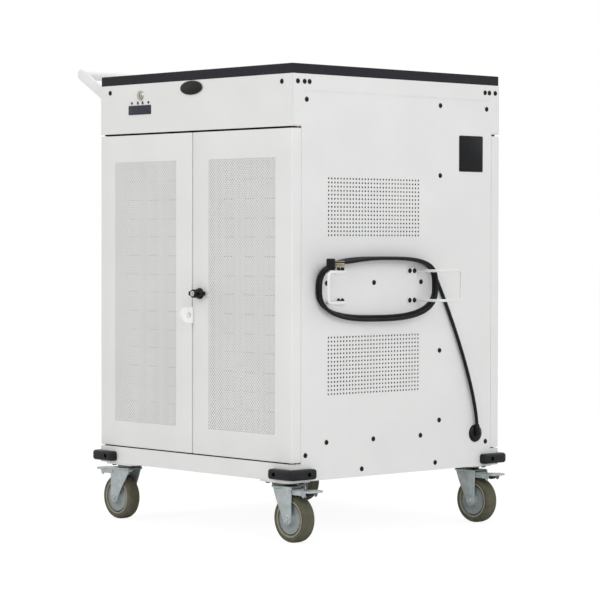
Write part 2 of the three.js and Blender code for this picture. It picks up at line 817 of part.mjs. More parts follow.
// Least distance, less the diameter, between stretches that lie more than a few diameters apart along a path
function leastGap(path, radius) {
  const count = 600;
  const points = path.getSpacedPoints(count);
  const apart = Math.ceil((8 * radius * count) / path.getLength());
  let least = Infinity;
  for (let i = 0; i < points.length; i++) {
    for (let j = i + apart; j < points.length; j++) {
      least = Math.min(least, points[i].distanceTo(points[j]));
    }
  }
  return least - 2 * radius;
}

const coil = new CordCoil();
const coilStart = coil.getPoint(0);
const coilEnd = coil.getPoint(1);
const glandCentre = new THREE.Vector3(halfWidth, glandY, casterHeight + glandRise);
const hoodBack = glandCentre.clone().add(new THREE.Vector3(glandHoodStandoff, 0, 0));
const lean = THREE.MathUtils.degToRad(glandLean);
const hoodWay = new THREE.Vector3(0, -Math.sin(lean), Math.cos(lean));
const hoodMouth = hoodBack.clone().addScaledVector(hoodWay, glandHoodLength);

function cordGland() {
  const profile = [
    [0, glandFlangeThickness], [glandFlangeRadius - 5, glandFlangeThickness], [glandFlangeRadius, fit + 1],
    [glandFlangeRadius, fit], [glandBossRadius - fit, fit],
    [glandBossRadius - fit, -2 * sheet], [0, -2 * sheet],
  ];
  const flange = turned(profile).rotate([0, 0, -90]).translate(glandCentre.toArray());
  const hood = new THREE.LatheGeometry([
    [0, -glandHoodRadius], [glandHoodRadius * 0.7, -glandHoodRadius * 0.7], [glandHoodRadius, 0],
    [glandHoodRadius, glandHoodLength / 3], [glandMouthRadius, glandHoodLength], [0, glandHoodLength],
  ].map(([radius, y]) => new THREE.Vector2(radius, y)), 14);
  hood.applyQuaternion(new THREE.Quaternion().setFromUnitVectors(alongY, hoodWay));
  hood.translate(...hoodBack.toArray());
  return flange.add(solid(hood));
}

// The free stretch leaves the gland's hood, and comes into the coil along the coil's own first direction
function cordRun() {
  const from = hoodMouth.clone().addScaledVector(hoodWay, fit);
  const to = coilStart.clone().addScaledVector(coil.firstWay, -fit);
  const leave = from.clone().addScaledVector(hoodWay, 2 * cordRadius);
  const arrive = to.clone().addScaledVector(coil.firstWay, -2 * cordRadius);
  const path = new THREE.CurvePath();
  path.add(new THREE.LineCurve3(from, leave));
  path.add(new THREE.CubicBezierCurve3(
    leave, leave.clone().addScaledVector(hoodWay, runHandleLow),
    arrive.clone().addScaledVector(coil.firstWay, -runHandleHigh), arrive));
  path.add(new THREE.LineCurve3(arrive, to));
  return path;
}

// Right-angle plug: the cord comes in along its length, the pins stand out sideways
function cordPlug() {
  const outline = polygon([
    [0, -plugNeck], [0, plugNeck], [-plugLength * 0.3, plugHalfHeight], [-plugLength + 3, plugHalfHeight],
    [-plugLength, plugHalfHeight - 3], [-plugLength, 3 - plugHalfHeight], [3 - plugLength, -plugHalfHeight],
    [-plugLength * 0.3, -plugHalfHeight],
  ]);
  const body = prism('x', outline, -plugHalfThickness, plugHalfThickness, { edge: 1.5 });
  const middle = -plugLength * 0.65;
  const [pinRoot, pinTip] = [plugHalfThickness - 2, plugHalfThickness + pinLength];
  const blades = [-1, 1].map((side) => {
    const [y, z] = [middle - pinSpacing / 2, side * pinSpacing];
    return prism('x', rect(y, z - pinThickness / 2, y + pinWidth, z + pinThickness / 2), pinRoot, pinTip);
  });
  const groundY = middle + 2 * groundPinRadius + pinSpacing / 2;
  return join(body, ...blades, bar('x', groundY, 0, groundPinRadius, pinRoot, pinTip, 8));
}

// Casters, each in its own frame: swivel axis at the origin, wheel trailing towards +X

const axleZ = wheelRadius * Math.cos(Math.PI / wheelSides);
const crownTop = casterHeight - casterPlateThickness - raceHeight - fit;
const crownBottom = crownTop - crownThickness;
const legInner = hubWidth / 2 + hubGap;
const legOuter = legInner + forkLeg;
const brakePinZ = crownBottom - brakePinDrop;

function casterPlate() {
  const [x, y] = [casterPlateLength / 2, casterPlateWidth / 2];
  const corner = 8;
  const outline = polygon([
    [-x + corner, -y], [x - corner, -y], [x, -y + corner], [x, y - corner],
    [x - corner, y], [-x + corner, y], [-x, y - corner], [-x, -y + corner],
  ]);
  const pad = prism('z', outline, casterHeight - casterPlateThickness, casterHeight);
  const low = casterHeight - casterPlateThickness - raceHeight;
  const sunk = raceHeight + casterPlateThickness / 2;
  const race = upright(turned([
    [0, 0], [raceRadius - 4, 0], [raceRadius, raceHeight], [raceRadius, sunk], [0, sunk],
  ]));
  return pad.add(race.translate([0, 0, low]));
}

function casterFork() {
  const boss = axleBossRadius;
  const leg = new THREE.Shape();
  leg.moveTo(-forkLead, crownTop);
  leg.lineTo(-forkLead, crownTop - forkShoulder);
  leg.absarc(casterTrail, axleZ, boss, Math.PI, 2 * Math.PI, false);
  leg.lineTo(casterTrail + boss, crownTop);
  const legs = [-1, 1].map((side) => prism('y', leg, side * legInner, side * legOuter));
  const crown = prism('z', rect(-forkLead, -legOuter, casterTrail + boss, legOuter), crownBottom, crownTop);
  const nose = bar('z', 0, 0, raceRadius, crownBottom, crownTop, 14);
  const axle = bar('y', casterTrail, axleZ, axleRadius, -legOuter, legOuter);
  const heads = [-1, 1].map((side) => {
    const [near, far] = [side * (legOuter - 1), side * (legOuter + axleHeadLength)];
    return bar('y', casterTrail, axleZ, axleHeadRadius, near, far, 6);
  });
  const brakePin = bar('y', casterTrail + brakePinX, brakePinZ, brakePinRadius, -legOuter, legOuter, 8);
  return join(...legs, crown, nose, axle, brakePin, ...heads);
}

// Stamped brake pedal on a barrel round the fork's pin
function brakeLever() {
  const pinX = casterTrail + brakePinX;
  const pedalRoot = casterTrail + axleBossRadius + 3;
  const low = brakePinZ - leverThickness / 2;
  const strip = (from, to) => {
    const height = (x) => low + (leverTipRise * Math.max(0, x - pedalRoot)) / (leverReach - pedalRoot);
    return polygon([
      [from, height(from)], [to, height(to)],
      [to, height(to) + leverThickness], [from, height(from) + leverThickness],
    ]);
  };
  const tongue = prism('y', strip(pinX, pedalRoot + 2), -leverTongueWidth / 2, leverTongueWidth / 2);
  const side = leverPedalWidth / 2;
  const [tip, corner] = [leverReach - leverTipCorner, side - leverTipCorner];
  const plan = polygon([
    [pedalRoot, -side], [tip, -side], [leverReach, -corner],
    [leverReach, corner], [tip, side], [pedalRoot, side],
  ]);
  const [under, over] = [low - 1, low + leverTipRise + leverThickness + 1];
  const pedal = prism('y', strip(pedalRoot, leverReach), -side, side).intersect(prism('z', plan, under, over));
  const barrel = bar('y', pinX, brakePinZ, leverBarrelRadius, -leverTongueWidth / 2, leverTongueWidth / 2, 10);
  const bore = bar('y', pinX, brakePinZ, brakePinRadius + fit, -leverPedalWidth, leverPedalWidth, 8);
  return join(tongue, pedal, barrel).subtract(bore);
}

function ring(profile) {
  const mirrored = profile.map(([radius, y]) => [radius, -y]).reverse();
  return turned([...profile, ...mirrored, profile[0]], wheelSides);
}

function wheelHub() {
  const half = hubWidth / 2;
  const rim = tyreWidth / 2 - 1.5;
  return ring([
    [axleRadius + fit, -half], [axleBossRadius, -half], [axleBossRadius + 3, -half * 0.66],
    [hubRadius - 6, -half * 0.66], [hubRadius - 3, -rim], [hubRadius, -rim],
  ]);
}

function tyre() {
  const half = tyreWidth / 2;
  const inner = (hubRadius + fit) / Math.cos(Math.PI / wheelSides);
  const wall = wheelRadius - inner;
  return ring([
    [inner, -half + 1.5], [inner + wall * 0.5, -half],
    [wheelRadius - wall * 0.15, -half * 0.85], [wheelRadius, -half * 0.5],
  ]);
}

function addCaster(place, side, facing) {
  const caster = new THREE.Group();
  caster.position.set(side * (halfWidth - casterInsetX), facing * (halfDepth - casterInsetY), 0);
  caster.rotation.z = side > 0 ? 0 : Math.PI;
  add(`${place}_caster_plate`, casterPlate(), 'zinc', caster);
  add(`${place}_caster_fork`, casterFork(), 'zinc', caster);
  add(`${place}_brake_lever`, brakeLever(), 'zinc', caster);
  const wheel = new THREE.Group();
  wheel.position.set(casterTrail, 0, axleZ);
  add(`${place}_wheel_hub`, wheelHub(), 'hub', wheel);
  add(`${place}_tyre`, tyre(), 'tyre', wheel);
  caster.add(wheel);
  cart.add(caster);
}

// A group at a place on a door or fascia, for pieces turned about an axis along Y
function station(x, y, z) {
  const group = new THREE.Group();
  group.position.set(x, y, z);
  cart.add(group);
  return group;
}

// The assembly

const corners = [['front_left', -1, -1], ['front_right', 1, -1], ['rear_left', -1, 1], ['rear_right', 1, 1]];

const glandHole = disc(glandY, casterHeight + glandRise, glandBossRadius, 16);
const keySwitchZ = worktopBottom - keySwitchDrop;
const keyHole = bar('y', keySwitchX, keySwitchZ, keyBarrelRadius + fit, -halfDepth - 1, -halfDepth + 2 * sheet);
add('base_frame', baseFrame(), 'whiteSteel');
add('left_side_panel', sidePanel(-1, []), 'whiteSteel');
add('right_side_panel', sidePanel(1, [glandHole]), 'whiteSteel');
add('front_fascia', fascia(-1, [-1, 1]).subtract(keyHole), 'whiteSteel');
add('rear_fascia', fascia(1, [-1]), 'whiteSteel');
add('work_top', worktop(), 'blackTop');
add('top_deck', topDeck(), 'paleSteel');
add('lower_shelf', shelf(lowerShelfTop), 'paleSteel');
add('upper_shelf', shelf(upperShelfTop), 'paleSteel');
add('adapter_partition', partition(), 'paleSteel');
add('lower_divider_rack', dividerRack(lowerShelfTop), 'blackPlastic');
add('upper_divider_rack', dividerRack(upperShelfTop), 'blackPlastic');
add('power_strip', powerStrip(), 'blackPlastic');
add('push_handle', pushHandle(), 'whiteSteel');
for (const [place, side, facing] of corners) {
  add(`${place}_bumper`, bumper(side, facing), 'rubber');
  addCaster(place, side, facing);
}

const knobHole = disc(knobX, knobZ, knobShaftRadius + fit);
add('left_door', frontDoor(-1, []), 'whiteSteel');
add('right_door', frontDoor(1, [knobHole]), 'whiteSteel');
add('rear_door', rearDoor(), 'whiteSteel');
for (const [place, side] of [['left', -1], ['right', 1]]) {
  add(`${place}_door_liner`, doorLiner(side), 'paleSteel');
  add(`${place}_padlock_tab`, padlockTab(side), 'whiteSteel');
  add(`${place}_hinge_rod`, hingeRod(side, -1), 'zinc');
}
add('rear_hinge_rod', hingeRod(-1, 1), 'zinc');

const latch = station(knobX, -halfDepth, knobZ);
add('wing_knob', wingKnob(), 'blackPlastic', latch);
const cylinder = keyed(cylinderRadius, -knobLength - 0.8, -knobLength + cylinderDepth - fit);
add('lock_cylinder', cylinder, 'nickel', latch);
add('latch_cam', latchCam(), 'zinc', latch);
add('rear_lock', rearLock(), 'nickel', station(rearLockX, halfDepth, knobZ));
const keySwitch = station(keySwitchX, -halfDepth, keySwitchZ);
add('key_switch_body', keySwitchBody(), 'nickel', keySwitch);
const switchPlug = keyed(keyPlugRadius, -bezelThickness - 1, keyBarrelLength / 2 - fit);
add('key_switch_plug', switchPlug, 'nickel', keySwitch);

add('front_cord_hook', cordHook(frontHookBoltY, frontHookLegY, frontHookTipY), 'whiteSteel');
add('rear_cord_hook', cordHook(rearHookBoltY, rearHookLegY, rearHookTipY), 'whiteSteel');
add('cord_gland', cordGland(), 'blackPlastic');
const cordNodes = ['cord_run', 'cord_coil', 'cord_plug'];
const run = cordRun();
add('cord_run', tube(run, cordRadius, 16, cordSides), 'blackPlastic');
add('cord_coil', tube(coil, cordRadius, 150, cordSides), 'blackPlastic');
const plugPlace = station(...coilEnd.clone().addScaledVector(coil.lastWay, fit).toArray());
plugPlace.rotation.z = plugTurn;
add('cord_plug', cordPlug(), 'blackPlastic', plugPlace);
console.log(`cord coil: least gap to itself ${leastGap(coil, cordRadius).toFixed(2)} mm`);
console.log(`cord: run ${run.getLength().toFixed(0)} mm, coil ${coil.getLength().toFixed(0)} mm`);

// The footprint is measured without the cord, and its middle is brought over the origin
cart.updateMatrixWorld(true);
const footprint = new THREE.Box3();
cart.traverse((piece) => {
  if (piece.isMesh && !cordNodes.includes(piece.name)) footprint.expandByObject(piece, true);
});
const middle = footprint.getCenter(new THREE.Vector3());
cart.position.set(-middle.x, -middle.y, 0);
const [middleX, middleY] = [middle.x.toFixed(3), middle.y.toFixed(3)];
console.log(`footprint middle ${middleX}, ${middleY}, lowest ${footprint.min.z.toFixed(4)}`);

export default cart;
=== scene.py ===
# %% [markdown]
# # Laptop charging cart
#
# A charging cart is a sheet-steel cabinet on casters: laptops stand in bays behind two perforated doors, their
# adapters sit behind a partition, and one mains cord, wound on two wire hooks, feeds them all. The fixed frame
# holds the engineering model, with its bodies and joints. This script dresses that frame: it keeps the plain
# sheet parts, draws finer pieces over the rest, and gives every surface its material.
#
# All pieces are drawn in millimetres about the middle of the cabinet, with the floor at zero. One matrix, `ROW`,
# takes that drawing into the frame.

# %% Load the frame
import math

import bmesh
import bpy
from mathutils import Matrix, Vector


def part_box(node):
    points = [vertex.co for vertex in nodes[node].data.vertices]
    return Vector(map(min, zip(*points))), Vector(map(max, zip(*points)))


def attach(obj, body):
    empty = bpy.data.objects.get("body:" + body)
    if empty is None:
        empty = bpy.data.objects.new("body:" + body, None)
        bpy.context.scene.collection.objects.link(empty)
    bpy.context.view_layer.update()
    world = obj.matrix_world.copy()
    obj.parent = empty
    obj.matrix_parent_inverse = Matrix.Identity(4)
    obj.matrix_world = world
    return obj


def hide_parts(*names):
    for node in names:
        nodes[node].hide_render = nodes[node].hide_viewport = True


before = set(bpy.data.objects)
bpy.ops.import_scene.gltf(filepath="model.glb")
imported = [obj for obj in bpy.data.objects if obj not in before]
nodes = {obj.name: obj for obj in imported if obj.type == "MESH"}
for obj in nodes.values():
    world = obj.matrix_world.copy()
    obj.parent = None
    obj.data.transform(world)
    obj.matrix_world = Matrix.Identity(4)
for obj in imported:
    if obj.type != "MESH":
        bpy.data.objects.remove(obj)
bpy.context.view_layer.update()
low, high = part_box("base_frame")
ROW = Matrix.Translation(((low.x + high.x) / 2, (low.y + high.y) / 2, 0)) @ Matrix.Scale(0.001, 4)

# %% [markdown]
# ## Camera
#
# The photograph was taken from the right front corner, with a long lens and the camera a little above the middle
# of the cart. Its place and turn were worked out from straight edges whose size is known.

# %% Camera
YAW, PITCH, ROLL = -0.83145, -0.02583, 0.0019
forward = Vector((math.sin(YAW) * math.cos(PITCH), math.cos(YAW) * math.cos(PITCH), math.sin(PITCH)))
level = Vector((math.cos(YAW), -math.sin(YAW), 0))
upright = level.cross(forward)
right = level * math.cos(ROLL) + upright * math.sin(ROLL)
up = upright * math.cos(ROLL) - level * math.sin(ROLL)

scene = bpy.context.scene
camera = bpy.data.objects.new("camera", bpy.data.cameras.new("camera"))
camera.data.sensor_width = 36
camera.data.lens = 144.2
camera.data.clip_end = 100
turned = Matrix((right, up, -forward)).transposed().to_4x4()
camera.matrix_world = Matrix.Translation(ROW @ Vector((4009.2, -3651.8, 638))) @ turned
scene.collection.objects.link(camera)
scene.camera = camera
print("camera at", [round(v, 3) for v in camera.matrix_world.translation])

# %% [markdown]
# ## Materials
#
# Every finish is built from noise at the size of the real grain. A broad noise moves the colour between two close
# shades, as paint and plastic do over a large panel. A fine one roughens the gloss and stands up as a slight
# bump, such as the orange peel of powder coating.

# %% Material tools
def linear(hex_colour):
    """A colour as picked from a picture, in the linear values that Blender mixes."""
    shares = [int(hex_colour[i:i + 2], 16) / 255 for i in (1, 3, 5)]
    return [s / 12.92 if s <= 0.04045 else ((s + 0.055) / 1.055) ** 2.4 for s in shares] + [1]


def add_node(tree, kind, inputs=None, **settings):
    node = tree.nodes.new(kind)
    for name, value in settings.items():
        setattr(node, name, value)
    for name, value in (inputs or {}).items():
        if isinstance(value, bpy.types.NodeSocket):
            tree.links.new(value, node.inputs[name])
        else:
            node.inputs[name].default_value = value
    return node


def surface(name, shades, mottle, grain, roughness, bump, specks=None, **shader):
    """Two shades in patches of mottle mm, with grain mm across that stands up by bump mm. Specks are a shade,
    a spacing in mm, and the share of the spacing that a speck takes."""
    material = bpy.data.materials.new(name)
    material.use_nodes = True
    tree = material.node_tree
    tree.nodes.clear()
    place = add_node(tree, "ShaderNodeTexCoord").outputs["Object"]
    broad = add_node(tree, "ShaderNodeTexNoise", {"Vector": place, "Scale": 1000 / mottle, "Detail": 4.0})
    fine = add_node(tree, "ShaderNodeTexNoise", {"Vector": place, "Scale": 1000 / grain, "Detail": 2.0})
    patches = add_node(tree, "ShaderNodeMapRange", {
        "Value": broad.outputs["Fac"], "From Min": 0.3, "From Max": 0.7})
    colour = add_node(tree, "ShaderNodeMixRGB", {
        "Fac": patches.outputs["Result"], "Color1": linear(shades[0]), "Color2": linear(shades[1])})
    if specks:
        shade, spacing, share = specks
        dots = add_node(tree, "ShaderNodeTexVoronoi", {"Vector": place, "Scale": 1000 / spacing})
        mask = add_node(tree, "ShaderNodeMapRange", {
            "Value": dots.outputs["Distance"], "From Min": share, "From Max": share / 2})
        colour = add_node(tree, "ShaderNodeMixRGB", {
            "Fac": mask.outputs["Result"], "Color1": colour.outputs["Color"], "Color2": linear(shade)})
    gloss = add_node(tree, "ShaderNodeMapRange", {
        "Value": fine.outputs["Fac"], "From Min": 0.3, "From Max": 0.7,
        "To Min": roughness[0], "To Max": roughness[1]})
    relief = add_node(tree, "ShaderNodeBump", {
        "Height": fine.outputs["Fac"], "Distance": bump / 1000, "Strength": 1.0})
    bsdf = add_node(tree, "ShaderNodeBsdfPrincipled", {
        "Base Color": colour.outputs["Color"], "Roughness": gloss.outputs["Result"],
        "Normal": relief.outputs["Normal"], **shader})
    add_node(tree, "ShaderNodeOutputMaterial", {"Surface": bsdf.outputs["BSDF"]})
    return material


# %% Finishes
# Dark, dull finishes return less of the white room than a polished one does
DULL = {"Specular IOR Level": 0.14}
SATIN = {"Specular IOR Level": 0.22}
# Powder-coated sheet steel, with a fine orange peel
WHITE = surface("white_powder_coat", ("#E6E6E4", "#EBEBE9"), 140, 1.6, (0.40, 0.52), 0.03)
# The same coat on inner sheets, a shade greyer
PALE = surface("pale_powder_coat", ("#DADAD7", "#E0E0DD"), 120, 1.6, (0.45, 0.58), 0.03)
# Gloss white enamel of the padlock tabs, brighter than the cabinet's coat. On the door liners and the grip the same
# brighter white is painted light that lifts their shade
GLOSS_WHITE_AND_PAINTED_LIGHT = surface("gloss_white_and_painted_light", ("#FBFBFA", "#FEFEFD"), 40, 1.2, (0.22, 0.32), 0.01)
# Satin white enamel of the push handle
SATIN_WHITE = surface("satin_white_enamel", ("#EBEBEA", "#EFEFEE"), 60, 1.2, (0.3, 0.42), 0.015)
# Charcoal laminate on the work top, with a pebbled face
LAMINATE = surface("charcoal_laminate", ("#25252A", "#2D2D33"), 3, 0.9, (0.5, 0.68), 0.05, **DULL)
# Moulded black plastic with a light spark texture
PLASTIC = surface("black_moulded_plastic", ("#0B0C0D", "#121214"), 30, 0.7, (0.36, 0.5), 0.03, **SATIN)
# Charcoal rubber of the bumpers, dull and slightly dusty
RUBBER = surface("charcoal_rubber", ("#17181B", "#1F2024"), 18, 0.8, (0.34, 0.5), 0.04, **SATIN)
# Soft black foam that seals the gap over the doors. The same black is painted shade behind the liner slots, the vents
# and the outlet holes, and in the key slots
BLACK_FOAM_AND_PAINTED_SHADE = surface("black_foam_and_painted_shade", ("#0C0C0D", "#131314"), 6, 1.0, (0.85, 0.95), 0.15, **DULL)
# Zinc-plated pressed steel, with a cloudy passivated sheen
ZINC = surface("zinc_plated_steel", ("#A6AEAF", "#BBC2C2"), 14, 0.9, (0.28, 0.42), 0.03, Metallic=0.45)
# Greenish passivated zinc, darkened as painted shade under the base, on the ball races and the fork's crown
GREEN_ZINC_PAINTED_SHADE = surface("green_zinc_painted_shade", ("#66716C", "#7D8883"), 8, 0.8, (0.3, 0.45), 0.03, Metallic=0.6)
# Taupe tyre tread of moulded polyurethane
TYRE = surface("taupe_polyurethane", ("#575546", "#646252"), 12, 0.8, (0.5, 0.68), 0.06, **DULL)
# The pale bead where the tyre meets its hub
BEAD = surface("pale_tyre_bead", ("#8C8977", "#9D9A89"), 10, 0.8, (0.4, 0.55), 0.04, **SATIN)
# Grey glass-filled nylon of the hub, with pale specks of filler
NYLON = surface("grey_filled_nylon", ("#878E8E", "#989F9F"), 4, 0.7, (0.5, 0.66), 0.06, ("#B4B9B9", 2.4, 0.34))
# Nickel-plated locks and lamp bezels
NICKEL = surface("nickel_plate", ("#ABA79F", "#BCB8B0"), 9, 0.6, (0.2, 0.34), 0.01, Metallic=0.95)
# Satin nickel of the lock in the knob, painted brighter as light over the shade of its recess in the knob's ring
LOCK_NICKEL_PAINTED_LIGHT = surface("satin_nickel_painted_light", ("#CBC7B7", "#DAD6C6"), 9, 0.6, (0.26, 0.4), 0.01, Metallic=0.8)
# Copper-washed steel of the hinge rods
COPPER = surface("copper_washed_steel", ("#9A7259", "#AF866B"), 12, 0.6, (0.3, 0.45), 0.01, Metallic=0.9)
# Flexible black jacket of the mains cord and of its moulded plug
JACKET = surface("black_cord_jacket", ("#090A0B", "#101113"), 25, 0.6, (0.28, 0.4), 0.02, **SATIN)
# Brass plug pins
BRASS = surface("brass_pins", ("#8F8564", "#A79C78"), 6, 0.5, (0.22, 0.36), 0.01, Metallic=0.95)
# Black-oxide screws
OXIDE = surface("black_oxide_steel", ("#0D0E0F", "#161719"), 4, 0.5, (0.36, 0.5), 0.02, **SATIN)
# Satin black enamel of the bare plates
ENAMEL = surface("satin_black_enamel", ("#101113", "#17181A"), 20, 0.5, (0.3, 0.42), 0.01, **SATIN)
# Slate film over the charging display
FILM = surface("slate_film", ("#2F3039", "#373842"), 14, 0.5, (0.3, 0.42), 0.01, **SATIN)
# Smoked lamp lenses
LENS = surface("smoked_lens", ("#1B1C21", "#26282E"), 5, 0.5, (0.12, 0.2), 0.005, **SATIN)
print("materials:", len(bpy.data.materials))

# %% [markdown]
# ## Drawing tools
#
# A piece starts as a small bmesh drawn in millimetres. `finish` takes it into the frame, turns its normals
# outwards, shades it smooth except at real edges, and hangs it on the body that carries it.

# %% Drawing tools
def finish(name, bm, material, body, replaces=(), matrix=Matrix(), angle=35):
    bmesh.ops.transform(bm, matrix=ROW @ matrix, verts=bm.verts)
    bmesh.ops.remove_doubles(bm, verts=bm.verts, dist=1e-6)
    bmesh.ops.recalc_face_normals(bm, faces=bm.faces)
    mesh = bpy.data.meshes.new(name)
    bm.to_mesh(mesh)
    bm.free()
    mesh.shade_smooth()
    mesh.set_sharp_from_angle(angle=math.radians(angle))
    mesh.materials.append(material)
    return hang(bpy.data.objects.new(name, mesh), body, replaces)


def hang(piece, body, replaces=()):
    scene.collection.objects.link(piece)
    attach(piece, body)
    if replaces:
        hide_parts(*replaces)
    return piece


def aim(at, direction):
    """The matrix that puts a piece drawn along +Z at a point, along a direction."""
    return Matrix.Translation(at) @ Vector(direction).to_track_quat("Z", "Y").to_matrix().to_4x4()


def corners(geom):
    return [item for item in geom if isinstance(item, bmesh.types.BMVert)]


def block(bm, low, high):
    low, high = Vector(low), Vector(high)
    verts = bmesh.ops.create_cube(bm, size=1)["verts"]
    bmesh.ops.scale(bm, vec=high - low, verts=verts)
    bmesh.ops.translate(bm, vec=(low + high) / 2, verts=verts)
    return verts


def lathe(bm, profile, steps=32, matrix=Matrix()):
    """Turns a profile of (radius, height) about Z."""
    old = set(bm.verts)
    verts = [bm.verts.new((radius, 0, height)) for radius, height in profile]
    edges = [bm.edges.new(pair) for pair in zip(verts, verts[1:])]
    bmesh.ops.spin(bm, geom=verts + edges, cent=(0, 0, 0), axis=(0, 0, 1), angle=math.tau, steps=steps, use_merge=True)
    bmesh.ops.transform(bm, matrix=matrix, verts=[v for v in bm.verts if v not in old])


def arc(x, y, radius, start, end, steps):
    """Points on an arc, in degrees."""
    turns = [math.radians(start + (end - start) * i / steps) for i in range(steps + 1)]
    return [(x + radius * math.cos(t), y + radius * math.sin(t)) for t in turns]


def rounded(x0, y0, x1, y1, radius, steps=5):
    """The outline of a rectangle with round corners."""
    return [
        *arc(x1 - radius, y1 - radius, radius, 0, 90, steps), *arc(x0 + radius, y1 - radius, radius, 90, 180, steps),
        *arc(x0 + radius, y0 + radius, radius, 180, 270, steps), *arc(x1 - radius, y0 + radius, radius, 270, 360, steps)]


def fill(bm, loops):
    """Fills the area between an outline and its holes."""
    edges = []
    for loop in loops:
        verts = [bm.verts.new((x, y, 0)) for x, y in loop]
        edges += [bm.edges.new(pair) for pair in zip(verts, verts[1:] + verts[:1])]
    filled = bmesh.ops.triangle_fill(bm, use_beauty=True, edges=edges)["geom"]
    return [item for item in filled if isinstance(item, bmesh.types.BMFace)]


def thicken(bm, faces, thickness):
    lifted = corners(bmesh.ops.extrude_face_region(bm, geom=faces, use_keep_orig=True)["geom"])
    bmesh.ops.translate(bm, vec=(0, 0, thickness), verts=lifted)


def slab(bm, outline, thickness, matrix=Matrix(), holes=()):
    """A flat outline with holes, drawn in XY and thickened upwards."""
    old = set(bm.verts)
    thicken(bm, fill(bm, [outline, *holes]), thickness)
    bmesh.ops.transform(bm, matrix=matrix, verts=[v for v in bm.verts if v not in old])


def soften(bm, width, segments=2, angle=30, where=None):
    """Rounds the sharp edges, or those of them that where picks."""
    bmesh.ops.dissolve_limit(bm, angle_limit=math.radians(1), verts=bm.verts, edges=bm.edges)
    edges = [e for e in bm.edges if e.is_manifold and e.calc_face_angle() > math.radians(angle)]
    edges = [e for e in edges if where is None or where(*[v.co for v in e.verts])]
    bmesh.ops.bevel(
        bm, geom=edges, offset=width, offset_type="OFFSET", segments=segments, profile=0.5, affect="EDGES",
        clamp_overlap=True, material=-1)


def sink(bm, point, out, radius, depth, sides=16):
    """Sinks a round blind hole into a curved face: cuts a ring of planes about a point and pushes in what they hold."""
    point, out = Vector(point), Vector(out)
    bmesh.ops.recalc_face_normals(bm, faces=bm.faces)
    ways = [aim(point, out) @ Vector((*p, 0)) - point for p in arc(0, 0, 1, 0, 360, sides)[:-1]]
    for way in ways:
        facing_out = [f for f in bm.faces if f.normal.dot(out) > 0.3]
        geom = {item for f in facing_out for item in (f, *f.edges, *f.verts)}
        bmesh.ops.bisect_plane(bm, geom=list(geom), plane_co=point + way * radius, plane_no=way)
    floor = [f for f in bm.faces if f.normal.dot(out) > 0.3
             and all((f.calc_center_median() - point).dot(way) < radius for way in ways)]
    sunk = corners(bmesh.ops.extrude_face_region(bm, geom=floor)["geom"])
    bmesh.ops.delete(bm, geom=[f for f in floor if f.is_valid], context="FACES_KEEP_BOUNDARY")
    for v in sunk:
        v.co += out * ((point - v.co).dot(out) - depth)


def stamp(bm, shape, matrix):
    """Adds a copy of a finished mesh."""
    old = set(bm.verts)
    bm.from_mesh(shape)
    bmesh.ops.transform(bm, matrix=matrix, verts=[v for v in bm.verts if v not in old])


def on_front(y):
    """Drawn in (x, z), rising towards the front."""
    return Matrix(((1, 0, 0, 0), (0, 0, -1, y), (0, 1, 0, 0), (0, 0, 0, 1)))


def on_side(side, x):
    """Drawn in (y, z), or (-y, z) on the left, rising outwards."""
    return Matrix(((0, 0, side, side * x), (side, 0, 0, 0), (0, 1, 0, 0), (0, 0, 0, 1)))


def span(node):
    """The lowest and highest corner of a frame's node, in mm about the cabinet's middle."""
    return [ROW.inverted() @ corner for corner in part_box(node)]


# The cabinet's own sizes, in mm
HALF_WIDTH, HALF_DEPTH = 322.5, 312.5
UNDERSIDE, TOP_UNDERSIDE = 130, 979
SHEET = 1.5

# %% [markdown]
# ## Mains cord
#
# The cord leaves a hooded gland low on the right side, climbs, and is wound two and a quarter times round the
# wire hooks before it ends in its plug. It is one curve: straight out of the hood, a free bend, the rounded
# loops that step outwards a cord's width at each turn, and a tail that turns out to the plug.

# %% Cord route
CORD_RADIUS = 4


def ease(value, start, end):
    share = min(1, max(0, (value - start) / (end - start)))
    return share * share * (3 - 2 * share)


def on_loop(degrees):
    turn = math.radians(degrees)
    c, s = math.cos(turn), math.sin(turn)
    power = 2.7 if s <= 0 else 3.6 if c > 0 else 2.85
    height = 64.3 if s > 0 else 60.4 + 6.2 * ease(degrees, 360, 540)
    size = (abs(c / 168.4) ** power + abs(s / height) ** power) ** (-1 / power)
    flare = 1 + 0.08 * (1 - ease(degrees, 10, 90))
    out = HALF_WIDTH + 4.7 + 8.7 * (ease(degrees, 200, 340) + ease(degrees, 560, 700))
    return Vector((out, -76.4 + size * c * flare, 530.5 + size * s))


GLAND = Vector((HALF_WIDTH, 238.1, 204))
HOOD_WAY = Vector((0, -math.sin(math.radians(7.3)), math.cos(math.radians(7.3))))
HOOD_BACK = GLAND + Vector((8.5, 0, 0))
exit_point = HOOD_BACK + HOOD_WAY * 18
leave = HOOD_BACK + HOOD_WAY * 28.3
first = on_loop(11.6)
first_way = (on_loop(11.7) - first).normalized()
arrive = first - first_way * 16.3
bend = [leave, leave + HOOD_WAY * 91, arrive - first_way * 97, arrive]
route = [exit_point]
for i in range(25):
    t = i / 24
    weights = [(1 - t) ** 3, 3 * t * (1 - t) ** 2, 3 * t * t * (1 - t), t ** 3]
    route.append(sum((p * w for p, w in zip(bend, weights)), Vector()))
route += [on_loop(11.6 + (810 - 11.6) * i / 266) for i in range(267)]
tail = route[-1]
TAIL, TAIL_BEND, PLUG_TURN = 128.3, 40, math.radians(45)
for i in range(1, 25):
    reach = (TAIL + TAIL_BEND * PLUG_TURN) * i / 24
    turn = max(0, reach - TAIL) / TAIL_BEND
    route.append(tail + Vector((
        TAIL_BEND * (1 - math.cos(turn)), -min(reach, TAIL) - TAIL_BEND * math.sin(turn), -11.3 * ease(i / 24, 0, 1))))
plug_way = Vector((math.sin(PLUG_TURN), -math.cos(PLUG_TURN), 0))
plug_face = route[-1] + plug_way * 8
route.append(plug_face)


